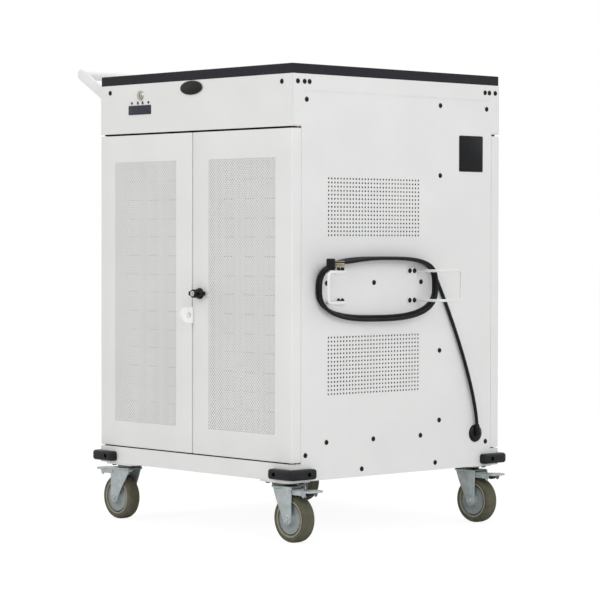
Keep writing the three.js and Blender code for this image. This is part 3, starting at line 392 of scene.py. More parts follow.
def tube(name, path, radius, material, sizes=None):
    """A round bar or cord along a path, with a share of its radius at each point."""
    curve = bpy.data.curves.new(name, "CURVE")
    curve.dimensions = "3D"
    curve.bevel_depth = radius / 1000
    curve.bevel_resolution = 4
    curve.use_fill_caps = True
    spline = curve.splines.new("POLY")
    spline.points.add(len(path) - 1)
    for i, place in enumerate(path):
        spline.points[i].co = (*(ROW @ place), 1)
        spline.points[i].radius = sizes[i] if sizes else 1
    spline.use_smooth = True
    curve.materials.append(material)
    return bpy.data.objects.new(name, curve)


cord = hang(tube("mains_cord", route, CORD_RADIUS, JACKET), "cabinet", ("cord_run", "cord_coil"))

# %% [markdown]
# ## Plug and gland
#
# The plug is moulded onto the cord: a flat body with a ribbed neck that tapers onto the cord, and two blades and a
# round earth pin that stand out sideways. The gland is a round flange with a ribbed hood that keeps the cord from
# bending sharply where it leaves the cabinet.

# %% Plug and gland
PLUG = Matrix.Translation(plug_face) @ Matrix.Rotation(PLUG_TURN, 4, "Z")
bm = bmesh.new()
body_outline = [(0, -5.5), (0, 5.5), *arc(-9, 7, 5, 60, 90, 3), *arc(-23, 7, 5, 90, 180, 5),
                *arc(-23, -7, 5, 180, 270, 5), *arc(-9, -7, 5, 270, 300, 3)]
slab(bm, body_outline, 18, on_side(1, -9))
soften(bm, 2.4, 4, 25)
plug = finish("plug_body", bm, JACKET, "cabinet", ("cord_plug",), PLUG)

bm = bmesh.new()
for z in (-6, 6):
    slab(bm, rounded(-21.2, z - 0.8, -14.8, z + 0.8, 0.3, 1), 20, on_side(1, 8.5))
soften(bm, 0.4, 2, 60)
earth = [(0, 8.5), (2.4, 8.5), (2.4, 27), (1.6, 29), (0, 29)]
lathe(bm, earth, 16, Matrix.Translation((0, -10.4, 0)) @ on_side(1, 0))
pins = finish("plug_pins", bm, BRASS, "cabinet", (), PLUG)

neck = [a.lerp(b, t / 4) for a, b in zip(route[-6:], route[-5:]) for t in range(4)]
ribs = [(1.08 + 0.5 * i / len(neck)) * (1 if i % 4 < 2 else 0.86) for i in range(len(neck))]
relief = hang(tube("plug_strain_relief", neck, CORD_RADIUS, JACKET, ribs), "cabinet", ())

bm = bmesh.new()
flange_profile = [(0, 6), (12, 6), (15.4, 5.4), (17.8, 4), (19.1, 2.2), (19.5, 1.4), (19.5, 0.3), (0, 0.3)]
lathe(bm, flange_profile, 48, aim(GLAND, (1, 0, 0)))
hood_profile = [(0, -7), (3.5, -6.2), (5.6, -4.4), (6.7, -2.2), (7, 0), (7, 4), (6.3, 4.6), (6.3, 6.4), (6.7, 7), (6.6, 9.4),
                (5.9, 10), (5.9, 11.8), (6.2, 12.4), (6, 14.8), (5.5, 15.4), (5.4, 19), (5, 20), (4.3, 19.8), (4.2, 18), (0, 17)]
lathe(bm, hood_profile, 32, aim(HOOD_BACK, HOOD_WAY))
gland = finish("cord_gland_moulding", bm, JACKET, "cabinet", ("cord_gland",))

print("plug, pins, strain relief and gland made")

# %% [markdown]
# ## Plain sheet parts
#
# Shelves, dividers, deck, partition and fascias are folded sheet that the frame already draws. They keep their
# mesh. A weld joins its loose triangles, and a narrow bevel gives each fold the small radius that a press brake
# leaves, so its edges catch the light.

# %% Dress the frame's own nodes
def dress(material, width, *names):
    for name in names:
        piece = nodes[name]
        piece.data.materials.clear()
        piece.data.materials.append(material)
        weld = piece.modifiers.new("weld", "WELD")
        weld.merge_threshold = 0.00001
        if width:
            bevel = piece.modifiers.new("fold_radius", "BEVEL")
            bevel.limit_method = "ANGLE"
            bevel.angle_limit = math.radians(35)
            bevel.width = width / 1000
            bevel.segments = 2


dress(WHITE, 0.5, "base_frame", "front_fascia", "rear_fascia", "rear_door")
dress(LAMINATE, 1.0, "work_top")
dress(PALE, 0.4, "top_deck", "lower_shelf", "upper_shelf", "adapter_partition", "lower_divider_rack", "upper_divider_rack")
# The liners take the brighter white as painted light, so that they read bright behind the holes
dress(GLOSS_WHITE_AND_PAINTED_LIGHT, 0, "left_door_liner", "right_door_liner")
dress(PLASTIC, 0.8, "power_strip")
dress(COPPER, 0.3, "left_hinge_rod", "right_hinge_rod", "rear_hinge_rod")
dress(NICKEL, 0.3, "latch_cam", "rear_lock", "key_switch_body", "key_switch_plug")
# The lock cylinder's brighter nickel is painted light over the shade of its recess
dress(LOCK_NICKEL_PAINTED_LIGHT, 0.3, "lock_cylinder")
print("dressed nodes:", sum(1 for node in nodes.values() if node.modifiers))

# %% [markdown]
# ## Perforated sheet
#
# The doors carry a field of round holes in staggered rows, punched so that air can pass. One tile is a small
# square with a round hole, and one is left whole. Two of each make a cell, the cell is repeated along a row and
# the row up the sheet, and the joined sheet is thickened. Vents in the side panels are the same with every tile
# punched.

# %% Punched sheets and doors
def punched(columns, rows, pitch_x, pitch_y, radius, sides, staggered):
    bm = bmesh.new()
    cell = 2 if staggered else 1
    for i in range(cell):
        for j in range(cell):
            x, y = i * pitch_x, j * pitch_y
            square = [(x, y), (x + pitch_x, y), (x + pitch_x, y + pitch_y), (x, y + pitch_y)]
            turn = 180 / sides
            hole = arc(x + pitch_x / 2, y + pitch_y / 2, radius, turn, turn + 360, sides)[:-1]
            if (i + j) % 2 == 0:
                fill(bm, [square, hole])
            else:
                bm.faces.new([bm.verts.new((*corner, 0)) for corner in square])
    for step, count in (((cell * pitch_x, 0, 0), columns // cell), ((0, cell * pitch_y, 0), rows // cell)):
        unit = bm.verts[:] + bm.edges[:] + bm.faces[:]
        for i in range(1, count):
            copy = corners(bmesh.ops.duplicate(bm, geom=unit)["geom"])
            bmesh.ops.translate(bm, vec=Vector(step) * i, verts=copy)
    bmesh.ops.remove_doubles(bm, verts=bm.verts, dist=0.01)
    thicken(bm, bm.faces[:], SHEET)
    bmesh.ops.translate(bm, vec=(-columns * pitch_x / 2, -rows * pitch_y / 2, 0), verts=bm.verts)
    return bm


WINDOW = (54.5, 225.5, 270.5, 806.5)
DOOR = (1.5, 169.5, 322.5, 866)
# The fold on the hinge side reaches a little further back, to close the gap to the side panel
HINGE_RETURN = 287.3


def mirrored(side, x0, x1):
    return sorted((side * x0, side * x1))


for side, name in ((-1, "left"), (1, "right")):
    x0, x1 = mirrored(side, DOOR[0], DOOR[2])
    w0, w1 = mirrored(side, WINDOW[0], WINDOW[2])
    bm = bmesh.new()
    block(bm, (x0, -HALF_DEPTH, DOOR[1]), (x1, -HALF_DEPTH + 24, DOOR[3]))
    bmesh.ops.recalc_face_normals(bm, faces=bm.faces)
    bmesh.ops.delete(bm, geom=[f for f in bm.faces if f.normal.y > 0.5], context="FACES")
    for v in bm.verts:
        if abs(v.co.x) > DOOR[2] - 0.01 and v.co.y > -HALF_DEPTH + 1:
            v.co.y = -HINGE_RETURN
    folds = [e for e in bm.edges if e.is_manifold]
    bmesh.ops.bevel(bm, geom=folds, offset=2.2, offset_type="OFFSET", segments=3, profile=0.5, affect="EDGES", material=-1)
    for cut, way in ((w0, (1, 0, 0)), (w1, (1, 0, 0)), (WINDOW[1], (0, 0, 1)), (WINDOW[3], (0, 0, 1))):
        everything = bm.verts[:] + bm.edges[:] + bm.faces[:]
        bmesh.ops.bisect_plane(bm, geom=everything, plane_co=Vector(way) * cut, plane_no=way)
    inside = [f for f in bm.faces if f.normal.y < -0.99 and w0 < f.calc_center_median().x < w1
              and WINDOW[1] < f.calc_center_median().z < WINDOW[3]]
    bmesh.ops.delete(bm, geom=inside, context="FACES")
    bmesh.ops.recalc_face_normals(bm, faces=bm.faces)
    bmesh.ops.solidify(bm, geom=bm.faces[:], thickness=SHEET)
    pan = finish(f"{name}_door_pan", bm, WHITE, f"{name}_door", (f"{name}_door",))
    print(pan.name, [round(v * 1000, 1) for v in pan.dimensions])

    bm = punched(56, 152, 216 / 56, 581 / 152, 1.7, 8, True)
    middle = Vector(((w0 + w1) / 2, 0, (WINDOW[1] + WINDOW[3]) / 2))
    place = Matrix.Translation(middle) @ on_front(-HALF_DEPTH + SHEET)
    field = finish(f"{name}_door_perforation", bm, WHITE, f"{name}_door", (), place)
    print(field.name, len(field.data.polygons), "faces")

    # Dark blocks at the liner's slots are painted shade, so that the slots read as dark dashes
    low, high = span(f"{name}_door_liner")
    bm = bmesh.new()
    for column in range(3):
        for row in range(13):
            x = (low.x + high.x) / 2 + 67 * (column - 1)
            z = (low.z + high.z) / 2 + 41 * (row - 6)
            block(bm, (x - 18.5, high.y + 0.1, z - 2.8), (x + 18.5, high.y + 0.7, z + 2.8))
    finish(f"{name}_slot_painted_shade", bm, BLACK_FOAM_AND_PAINTED_SHADE, f"{name}_door", ())

# %% [markdown]
# ## Side panels
#
# Each side is one sheet from the base to the top, notched where the doors wrap round its edges, with two vents of
# small round holes. A jamb is folded in behind each door, and a shallow bead is rolled in under the top. A strip of
# black foam closes the gap over the doors.

# %% Side panels
# The outer edge of a notch reaches closer to the door than its inner edge, which an opening door sweeps past
HINGE_LIP, FREE_LIP = 286.9, 287.8
VENT = (31, 15, 8.88, 8.51)
VENT_RISES = (369, 703.4)
for side, name in ((-1, "left"), (1, "right")):
    full, waist, ledge, flange = 310.7, 286.2, 165.2, 871.8
    outline = [(-full, 130), (full, 130), (full, ledge), (waist, ledge), (waist, flange), (full, flange), (full, 979),
               (-full, 979), (-full, flange), (-waist, flange), (-waist, ledge), (-full, ledge)]
    half_y, half_z = VENT[0] * VENT[2] / 2, VENT[1] * VENT[3] / 2
    middle = side * -75.5
    windows = [
        [(middle - half_y, z - half_z), (middle + half_y, z - half_z), (middle + half_y, z + half_z), (middle - half_y, z + half_z)]
        for z in VENT_RISES]
    bm = bmesh.new()
    slab(bm, outline, SHEET, on_side(side, HALF_WIDTH - SHEET), windows)
    for v in bm.verts:
        if abs(abs(v.co.y) - waist) < 0.01 and abs(v.co.x) > HALF_WIDTH - 0.01:
            v.co.y = math.copysign(FREE_LIP if side > 0 and v.co.y > 0 else HINGE_LIP, v.co.y)
    for facing in (-1, 1):
        y0, y1 = mirrored(facing, 285.3, 283.8)
        x0, x1 = mirrored(side, HALF_WIDTH - SHEET, 300.5)
        block(bm, (x0, y0, 167), (x1, y1, 870))
    x0, x1 = mirrored(side, 300.5, 321)
    block(bm, (x0, -full, 977.5), (x1, full, 979))
    reach = 279 if side > 0 else 246
    slab(bm, rounded(-reach, 944.1, reach, 945.5, 0.5, 2), 1.0, on_side(side, HALF_WIDTH))
    finish(f"{name}_side_skin", bm, WHITE, "cabinet", (f"{name}_side_panel",))
    for label, z in zip(("lower", "upper"), VENT_RISES):
        bm = punched(*VENT, 2.25, 12, False)
        place = Matrix.Translation((0, side * middle, z)) @ on_side(side, HALF_WIDTH - SHEET)
        finish(f"{name}_{label}_vent", bm, WHITE, "cabinet", (), place)
        # A dark sheet behind each vent is painted shade, so that its holes read dark
        bm = bmesh.new()
        x0, x1 = mirrored(side, 318, 320.7)
        block(bm, (x0, side * middle - half_y - 6, z - half_z - 6), (x1, side * middle + half_y + 6, z + half_z + 6))
        soften(bm, 0.6, 2)
        finish(f"{name}_{label}_vent_painted_shade", bm, BLACK_FOAM_AND_PAINTED_SHADE, "cabinet", ())

bm = bmesh.new()
for facing in (-1, 1):
    y0, y1 = mirrored(facing, 309.5, 300)
    block(bm, (-312, y0, 866.7), (312, y1, 870))
    block(bm, (-312, y0, 167), (312, y1, 168.8))
soften(bm, 0.6, 2)
finish("door_seals", bm, BLACK_FOAM_AND_PAINTED_SHADE, "cabinet", ())
print("side panels, vents and seal made")

# %% [markdown]
# ## Push handle, padlock tabs and bumpers
#
# The handle is a round bar between two bracket arms that are folded from plate and screwed to the left side. The
# padlock tabs are D-shaped plates welded to the two doors, so that one shackle passes through both. A rubber
# bumper wraps each lower corner: an L in plan with well-rounded edges, and a counterbore in each leg for its screw.

# %% Handle, tabs and bumpers
GRIP = Vector((-427.5, 1012.5))
root = Vector((-322.8, 951.5))
along = (GRIP - root).normalized()
across = Vector((-along.y, along.x))
turn = math.degrees(math.atan2(across.y, across.x))


def on_wall(point):
    return point + along * ((root.x - point.x) / along.x)


arm = [on_wall(GRIP + across * 12.5), *arc(*GRIP, 12.5, turn, turn - 180, 14), on_wall(GRIP - across * 12.5)]
bm = bmesh.new()
for facing in (-1, 1):
    slab(bm, [tuple(p) for p in arm], 5, on_front(290 if facing > 0 else -285))
    y0, y1 = mirrored(facing, 290, 250)
    block(bm, (-327.8, y0, 926.5), (-322.8, y1, 976.5))
soften(bm, 1.2, 3)
finish("handle_arms", bm, SATIN_WHITE, "cabinet", ("push_handle",))
bm = bmesh.new()
lathe(bm, [(0, -288), (12, -288), (12, 288), (0, 288)], 40, aim((GRIP.x, 0, GRIP.y), (0, 1, 0)))
# The grip takes the brighter white as painted light over the shade on its underside
finish("handle_grip", bm, GLOSS_WHITE_AND_PAINTED_LIGHT, "cabinet", ())

for side, name in ((-1, "left"), (1, "right")):
    bm = bmesh.new()
    outline = [(-312.8, 452.5), (-312.8, 488.5), *arc(-326.8, 470.5, 18, 90, 270, 16)]
    hole = arc(-324.8, 470.5, 6.2, 0, 360, 24)[:-1]
    place = Matrix(((0, 0, 1, min(side * 1.5, side * 4)), (1, 0, 0, 0), (0, 1, 0, 0), (0, 0, 0, 1)))
    slab(bm, outline, 2.5, place, [hole])
    soften(bm, 0.5, 2, 60)
    finish(f"{name}_tab_plate", bm, GLOSS_WHITE_AND_PAINTED_LIGHT, f"{name}_door", (f"{name}_padlock_tab",))

PLACES = {"front_left": (-1, -1), "front_right": (1, -1), "rear_left": (-1, 1), "rear_right": (1, 1)}
BUMPER_X, BUMPER_Y, BUMPER_Z = 340, 330, 145.4
BUMPER_HOLES = ((285, BUMPER_Y), (BUMPER_X, 278))


def against_cabinet(a, b):
    return all(abs(v.x) < 322.9 and abs(v.y) < 312.9 for v in (a, b))


for place, (side, facing) in PLACES.items():
    inner_x, inner_y, end_x, end_y = 322.8, 312.8, 264, 254
    outline = [
        (end_x, inner_y), (inner_x, inner_y), (inner_x, end_y), *arc(BUMPER_X - 7, end_y + 7, 7, 270, 360, 5),
        *arc(BUMPER_X - 16, BUMPER_Y - 16, 16, 0, 90, 8), *arc(end_x + 7, BUMPER_Y - 7, 7, 90, 180, 5)]
    bm = bmesh.new()
    slab(bm, [(side * x, facing * y) for x, y in outline], 21.8, Matrix.Translation((0, 0, 134.5)))
    soften(bm, 6, 5, 50, lambda a, b: not against_cabinet(a, b))
    for x, y in BUMPER_HOLES:
        out = (0, facing, 0) if y == BUMPER_Y else (side, 0, 0)
        sink(bm, (side * x, facing * y, BUMPER_Z), out, 4.8, 7)
    finish(f"{place}_bumper_rubber", bm, RUBBER, "cabinet", (f"{place}_bumper",))
print("handle, tabs and bumpers made")

# %% [markdown]
# ## Cord hooks
#
# A hook is one length of painted wire, bent so that both ends lie flat on the side and the loop stands out to
# carry the coil. Each end is held by a small bridge with two screws.

# %% Cord hooks
def bent(points, bend):
    """A path through points, with each corner bent round."""
    path = [points[0]]
    for before, corner, after in zip(points, points[1:], points[2:]):
        reach = min(bend, 0.8 * (before - corner).length, 0.8 * (after - corner).length)
        a = corner + (before - corner).normalized() * reach
        b = corner + (after - corner).normalized() * reach
        path += [a.lerp(corner, t / 8).lerp(corner.lerp(b, t / 8), t / 8) for t in range(9)]
    return path + [points[-1]]


for name, bolt, start, leg, tip in (("front", -177, -189.5, -219, -272), ("rear", 36.3, 49, 54, 122)):
    reach = [(325.8, start), (325.8, leg), (390.5, leg), (390.5, tip)]
    points = [Vector((x, y, 567.6)) for x, y in reach] + [Vector((x, y, 503.6)) for x, y in reversed(reach)]
    hook = tube(f"{name}_hook_wire", bent(points, 10), 3, WHITE)
    hang(hook, "cabinet", (f"{name}_cord_hook",))
    bm = bmesh.new()
    for z in (567.6, 503.6):
        slab(bm, rounded(bolt - 14, z - 7, bolt + 14, z + 7, 3), 2.5, on_side(1, HALF_WIDTH + 0.3))
    soften(bm, 0.8, 2, 50)
    finish(f"{name}_hook_bridges", bm, WHITE, "cabinet", ())
print("hooks made")

# %% [markdown]
# ## Latch
#
# A black wing knob turns the latch. In its middle sits a nickel lock cylinder in a raised ring, and two square-cut
# wings give the fingers their grip.

# %% Wing knob
KNOB = Vector((27, -312.5, 517.5))
bm = bmesh.new()
slab(bm, rounded(-23, -4.7, 23, 4.7, 1.8, 4), 9.9, on_front(-4.4))
soften(bm, 1.0, 2)
lathe(bm, [(0, 0.3), (12, 0.3), (12, 3.5), (11.4, 5), (9.8, 8), (9, 11), (9, 20.6), (8.6, 21.6), (7.4, 22), (6.3, 22),
           (6.3, 16)], 40, aim((0, 0, 0), (0, -1, 0)))
finish("wing_knob_moulding", bm, PLASTIC, "latch", ("wing_knob",), Matrix.Translation(KNOB))

# A dark block at the floor of each key slot, which turns with its lock, is painted shade in the slot
for node, half, z in (("lock_cylinder", None, None), ("key_switch_plug", None, None), ("rear_lock", 3.9, KNOB.z)):
    low, high = span(node)
    x = (low.x + high.x) / 2
    half = half or 0.29 * (high.x - low.x)
    z = z or (low.z + high.z) / 2
    y0, y1 = (high.y - 1.5, high.y - 0.5) if node == "rear_lock" else (low.y + 0.6, low.y + 2.9)
    bm = bmesh.new()
    block(bm, (x - 0.75, y0, z - half), (x + 0.75, y1, z + half))
    finish(f"{node}_keyway_painted_shade", bm, BLACK_FOAM_AND_PAINTED_SHADE, node, ())
print("knob and keyways made")

# %% [markdown]
# ## Casters
#
# Each caster turns on a plate with a ball race. A pressed fork holds the axle behind the swivel line: its legs are
# flat round the axle and curl inwards at the front. A stamped lever between the legs works the brake. All are drawn
# once, about the swivel line with the wheel trailing towards +X, and set at the four corners, with the left pair
# turned round.

# %% Caster plate and fork
AXLE = Vector((30, 0, 50.37))
LEG_INSIDE, LEG_OUTSIDE = 19, 22
CROWN = 114


def top_plate():
    bm = bmesh.new()
    slab(bm, rounded(-47.5, -33.5, 47.5, 33.5, 9), 4, Matrix.Translation((0, 0, 126)))
    soften(bm, 0.8, 2, 50)
    return bm


def ball_race():
    bm = bmesh.new()
    lathe(bm, [(0, 119), (23, 119), (26, 119.6), (27.2, 120.8), (27.4, 121.6), (26.2, 122), (26.2, 122.8), (27.6, 123.2),
               (28, 124.4), (28.6, 126), (0, 126)], 40)
    return bm


def plate_bolts():
    bm = bmesh.new()
    for x in (-32.5, 32.5):
        for y in (-18.5, 18.5):
            lathe(bm, [(0, 121.6), (3, 121.8), (5, 122.8), (5.8, 124.4), (6, 126), (0, 126)], 18, Matrix.Translation((x, y, 0)))
    return bm


def pressed_fork():
    bm = bmesh.new()
    leg = [*arc(AXLE.x, AXLE.z, 13, 180, 360, 12), (43, 116), (41, 118.7), (-18, 118.7), (-19.5, 117.5), (-15.8, 108),
           (-10.2, 98), (-5, 88.8), (0.6, 80), (5.6, 71.6), (10.6, 62.6), (15.4, 54.4)]
    for face in (LEG_OUTSIDE, -LEG_INSIDE):
        slab(bm, leg, LEG_OUTSIDE - LEG_INSIDE, on_front(face))
    slab(bm, rounded(-22, -21.5, 40, 21.5, 12), 4, Matrix.Translation((0, 0, 114.7)))
    soften(bm, 0.9, 2, 35)
    for x in range(-20, 18, 5):
        everything = bm.verts[:] + bm.edges[:] + bm.faces[:]
        bmesh.ops.bisect_plane(bm, geom=everything, plane_co=(x, 0, 0), plane_no=(1, 0, 0))
    for v in bm.verts:
        v.co.y *= 1 - 0.004 * max(0, 17 - v.co.x) ** 2 / LEG_OUTSIDE
    lathe(bm, [(0, 114.6), (27, 114.6), (28, 115.4), (28, 117.8), (27, 118.7), (0, 118.7)], 40)
    lathe(bm, [(0, 108), (5, 108), (5, 111), (9, 111), (9, 114.8), (0, 114.8)], 6)
    for side in (-1, 1):
        out = aim((AXLE.x, side * LEG_OUTSIDE, AXLE.z), (0, side, 0))
        lathe(bm, [(0, -44), (5, -44), (5, 0), (11, 0), (11, 1.2), (10.4, 1.6), (0, 1.6)], 28, out)
        lathe(bm, [(0, 1.4), (8, 1.4), (8, 3.9), (7.2, 4.8), (4.2, 5), (4, 4.4), (0, 4.4)], 6, out)
        pin = aim((38, side * LEG_OUTSIDE, 108.2), (0, side, 0))
        lathe(bm, [(0, -40), (2.5, -40), (2.5, 0), (4, 0), (4, 1), (3.2, 1.8), (0, 2.1)], 18, pin)
    # Faces on top of the crown, between the legs, take the darker zinc as painted shade under the base
    for f in bm.faces:
        middle = f.calc_center_median()
        f.material_index = int(middle.z > CROWN and abs(middle.y) < LEG_INSIDE)
    return bm


# %% Brake
def brake_pedal():
    bm = bmesh.new()
    plan = [(38, -17), (64, -17), (72, -18.4), (80, -21), *arc(91, -10, 11, -90, 0, 6), *arc(91, 10, 11, 0, 90, 6), (80, 21),
            (72, 18.4), (64, 17), (38, 17)]
    slab(bm, plan, 4.6, Matrix.Translation((0, 0, 105.1)))
    bmesh.ops.dissolve_limit(bm, angle_limit=math.radians(1), verts=bm.verts, edges=bm.edges)
    bmesh.ops.recalc_face_normals(bm, faces=bm.faces)
    under_side = [f for f in bm.faces if f.normal.z < -0.9]
    bmesh.ops.inset_region(bm, faces=under_side, thickness=2.4)
    bmesh.ops.translate(bm, vec=(0, 0, 2.6), verts=list({v for f in under_side for v in f.verts}))
    soften(bm, 0.9, 3, 50)
    for x in (46, 56, 66, 76, 86, 94):
        everything = bm.verts[:] + bm.edges[:] + bm.faces[:]
        bmesh.ops.bisect_plane(bm, geom=everything, plane_co=(x, 0, 0), plane_no=(1, 0, 0))
    for v in bm.verts:
        v.co.z += 4 * max(0, v.co.x - 46) / 56 + 1.4 * ease(v.co.x, 62, 76) * (1 - ease(v.co.x, 80, 96))
    lathe(bm, [(2.8, -17), (5.5, -17), (5.5, 17), (2.8, 17), (2.8, -17)], 24, aim((38, 0, 108.2), (0, 1, 0)))
    ear = [(40, 111), (52, 111.4), (66, 112.4), (82, 113.4), (84, 109), (81, 100.5), (78, 98.4), (74.5, 98.6), (71.5, 103.6),
           (68, 101.4), (62, 102.6), (50, 102), (42, 103)]
    for y in (18.4, -16.8):
        slab(bm, ear, 1.6, on_front(y))
    return bm


def brake_pad():
    bm = bmesh.new()
    slab(bm, [(69, 108), (85, 109.6), (85, 105.4), (82.5, 101.6), (78, 100), (72.6, 100.8), (69.4, 103.8)], 13, on_front(6.5))
    soften(bm, 1.8, 3, 25)
    return bm


# %% Wheel and caster sets
def wheel_hub():
    bm = bmesh.new()
    face = [(5.3, -18), (11.6, -18), (13, -16.8), (14.2, -13), (15.5, -12.2), (30.4, -11.8), (31.8, -12.6), (32.4, -13.4),
            (32.9, -13), (33.1, -9), (34.6, -9)]
    profile = face + [(radius, -y) for radius, y in reversed(face)] + face[:1]
    lathe(bm, profile, 64, aim(AXLE, (0, 1, 0)))
    return bm


def tyre():
    bm = bmesh.new()
    edge = [(34.8, -8.5), (34.9, -14.2), (35.5, -15.2), (36.8, -15.7), (38.4, -15.5), (39.3, -14.9), (39.9, -14.8), (41.5, -15.6),
            (43.6, -15.9), (46, -15.2), (48, -13.4), (49.5, -10.6), (50.2, -7.2), (50.37, -4)]
    profile = edge + [(radius, -y) for radius, y in reversed(edge)] + edge[:1]
    lathe(bm, profile, 80, aim(AXLE, (0, 1, 0)))
    return bm


def within(bm, least, most, index):
    """Gives another material to the faces of a wheel between two radii."""
    for f in bm.faces:
        reach = f.calc_center_median() - AXLE
        f.material_index = index if least < math.hypot(reach.x, reach.z) < most and abs(reach.y) > 8 else 0
    return bm


for place, (side, facing) in PLACES.items():
    spot = Matrix.Translation((side * 262, facing * 277, 0)) @ Matrix.Rotation(0 if side > 0 else math.pi, 4, "Z")
    swivel, wheel, brake = f"{place}_swivel", f"{place}_wheel", f"{place}_brake"
    finish(f"{place}_top_plate", top_plate(), WHITE, "cabinet", (f"{place}_caster_plate",), spot)
    # The ball race takes the darker zinc as painted shade under the base
    finish(f"{place}_ball_race", ball_race(), GREEN_ZINC_PAINTED_SHADE, "cabinet", (), spot)
    finish(f"{place}_plate_bolts", plate_bolts(), OXIDE, "cabinet", (), spot)
    fork = finish(f"{place}_pressed_fork", pressed_fork(), ZINC, swivel, (f"{place}_caster_fork",), spot)
    # The fork's second material is the darker zinc, painted shade on its crown
    fork.data.materials.append(GREEN_ZINC_PAINTED_SHADE)
    finish(f"{place}_brake_pedal", brake_pedal(), ZINC, brake, (f"{place}_brake_lever",), spot)
    finish(f"{place}_brake_pad", brake_pad(), RUBBER, brake, (), spot)
    hub = finish(f"{place}_hub_moulding", within(wheel_hub(), 32.6, 35, 1), NYLON, wheel, (f"{place}_wheel_hub",), spot)
    hub.data.materials.append(RUBBER)
    tread = finish(f"{place}_tyre_tread", within(tyre(), 34, 39.5, 1), TYRE, wheel, (f"{place}_tyre",), spot)
    tread.data.materials.append(BEAD)
print("casters made")

# %% [markdown]
# ## Screws
#
# Black button-head screws hold the shelves, the partition and the frame to the sides. One head is turned and
# stamped at each place.

# %% Screws
bm = bmesh.new()
lathe(bm, [(0, 1.1), (1.6, 1.1), (1.8, 2.3), (2.6, 2.4), (4.2, 1.7), (5.2, 0.7), (5.5, 0)], 20)
button = bpy.data.meshes.new("button_head")
bm.to_mesh(button)
bm.free()


def screws(name, places, size=1):
    """Button heads at (place, direction)."""
    bm = bmesh.new()
    for place, way in places:
        stamp(bm, button, aim(place, way) @ Matrix.Scale(size, 4))
    finish(name, bm, OXIDE, "cabinet", ())


SIDE_SCREWS = [
    (-297, 963), (-278, 963), (-264, 963), (-272, 926), (267, 962), (281, 962), (300, 962), (125, 928), (272, 925.5),
    (125, 775), (-214, 543), (-76, 543), (66, 543), (124.5, 392), (124, 239), (-214, 208.5), (-77, 208.5), (66, 208.5),
    (-274, 184.4), (272, 184), (-111, 146.3), (112, 146.3)]
FRONT, REAR = (0, -1, 0), (0, 1, 0)
screws("right_side_screws", [((HALF_WIDTH, y, z), (1, 0, 0)) for y, z in SIDE_SCREWS])
behind_foot = [(y, z) for y, z in SIDE_SCREWS if not (248 < abs(y) < 292 and z > 924)]
screws("left_side_screws", [((-HALF_WIDTH, y, z), (-1, 0, 0)) for y, z in behind_foot])
screws("fascia_screws", [((x, -HALF_DEPTH, 963), FRONT) for x in (-288.4, 290.3)])
HOOK_SCREWS = [(-182.7, 570.8), (-171.5, 570.8), (-182.7, 505.5), (-171.5, 505.5), (29.3, 567.4), (43.3, 567.4), (29.3, 503.6),
               (43.3, 503.6)]
screws("hook_screws", [((HALF_WIDTH + 2.8, y, z), (1, 0, 0)) for y, z in HOOK_SCREWS])
screws("handle_screws", [((-327.8, y, z), (-1, 0, 0)) for y in (-260, 260) for z in (938, 965)], 0.75)
sunk = []
for side, facing in PLACES.values():
    (front_x, front_y), (side_x, side_y) = BUMPER_HOLES
    sunk.append(((side * front_x, facing * (front_y - 7), BUMPER_Z), (0, facing, 0)))
    sunk.append(((side * (side_x - 7), facing * side_y, BUMPER_Z), (side, 0, 0)))
screws("bumper_screws", sunk, 0.6)
print("screws made")

# %% [markdown]
# ## Fascia fittings and plates
#
# The fascia carries a bare oval badge just under the top, a display window and four lamps beside the key switch.
# The right side carries a bare enamelled plate. All are thin slabs with a softened edge.

# %% Fascia fittings and plates
FASCIA = -312.5


def oval(x, z, half_x, half_z, steps=48):
    return [(x + half_x * math.cos(math.tau * i / steps), z + half_z * math.sin(math.tau * i / steps)) for i in range(steps)]


bm = bmesh.new()
slab(bm, oval(-1.3, 962.6, 38.2, 16), 2, on_front(FASCIA))
soften(bm, 0.6, 2, 50)
finish("badge_rim", bm, NICKEL, "cabinet", ())
bm = bmesh.new()
slab(bm, oval(-1.3, 962.6, 37.2, 15), 1.4, on_front(FASCIA - 1.2))
soften(bm, 0.5, 2, 50)
finish("badge_face", bm, ENAMEL, "cabinet", ())

bm = bmesh.new()
slab(bm, rounded(-221, 911, -142, 931.5, 2), 1.2, on_front(FASCIA))
soften(bm, 0.4, 2, 50)
finish("display_film", bm, FILM, "cabinet", ())

LAMPS = ((-209.6, 3.0, False), (-188.1, 2.9, True), (-171.2, 2.9, True), (-151.1, 3.0, False))
bm = bmesh.new()
rings = bmesh.new()
for x, radius, ringed in LAMPS:
    lens = aim((x, FASCIA, 937), FRONT)
    lathe(bm, [(0, 2.2), (radius * 0.5, 2), (radius * 0.85, 1.3), (radius, 0)], 20, lens)
    if ringed:
        lathe(rings, [(radius, 0), (radius, 1), (radius + 0.4, 1.3), (radius + 1, 1), (radius + 1.2, 0)], 24, lens)
finish("charging_lamps", bm, LENS, "cabinet", ())
finish("lamp_rings", rings, NICKEL, "cabinet", ())

bm = bmesh.new()
slab(bm, rounded(184, 785, 259.6, 864.5, 3), 0.8, on_side(1, HALF_WIDTH))
soften(bm, 0.3, 2, 50)
finish("bare_side_plate", bm, ENAMEL, "cabinet", ())
print("fittings made")

# %% [markdown]
# ## Power strip
#
# Behind the rear door, an upright power strip feeds the adapters. Its cover has a row of outlets, each a small tile
# with two slots and a round hole punched through, and a rocker switch with a lamp at the top.

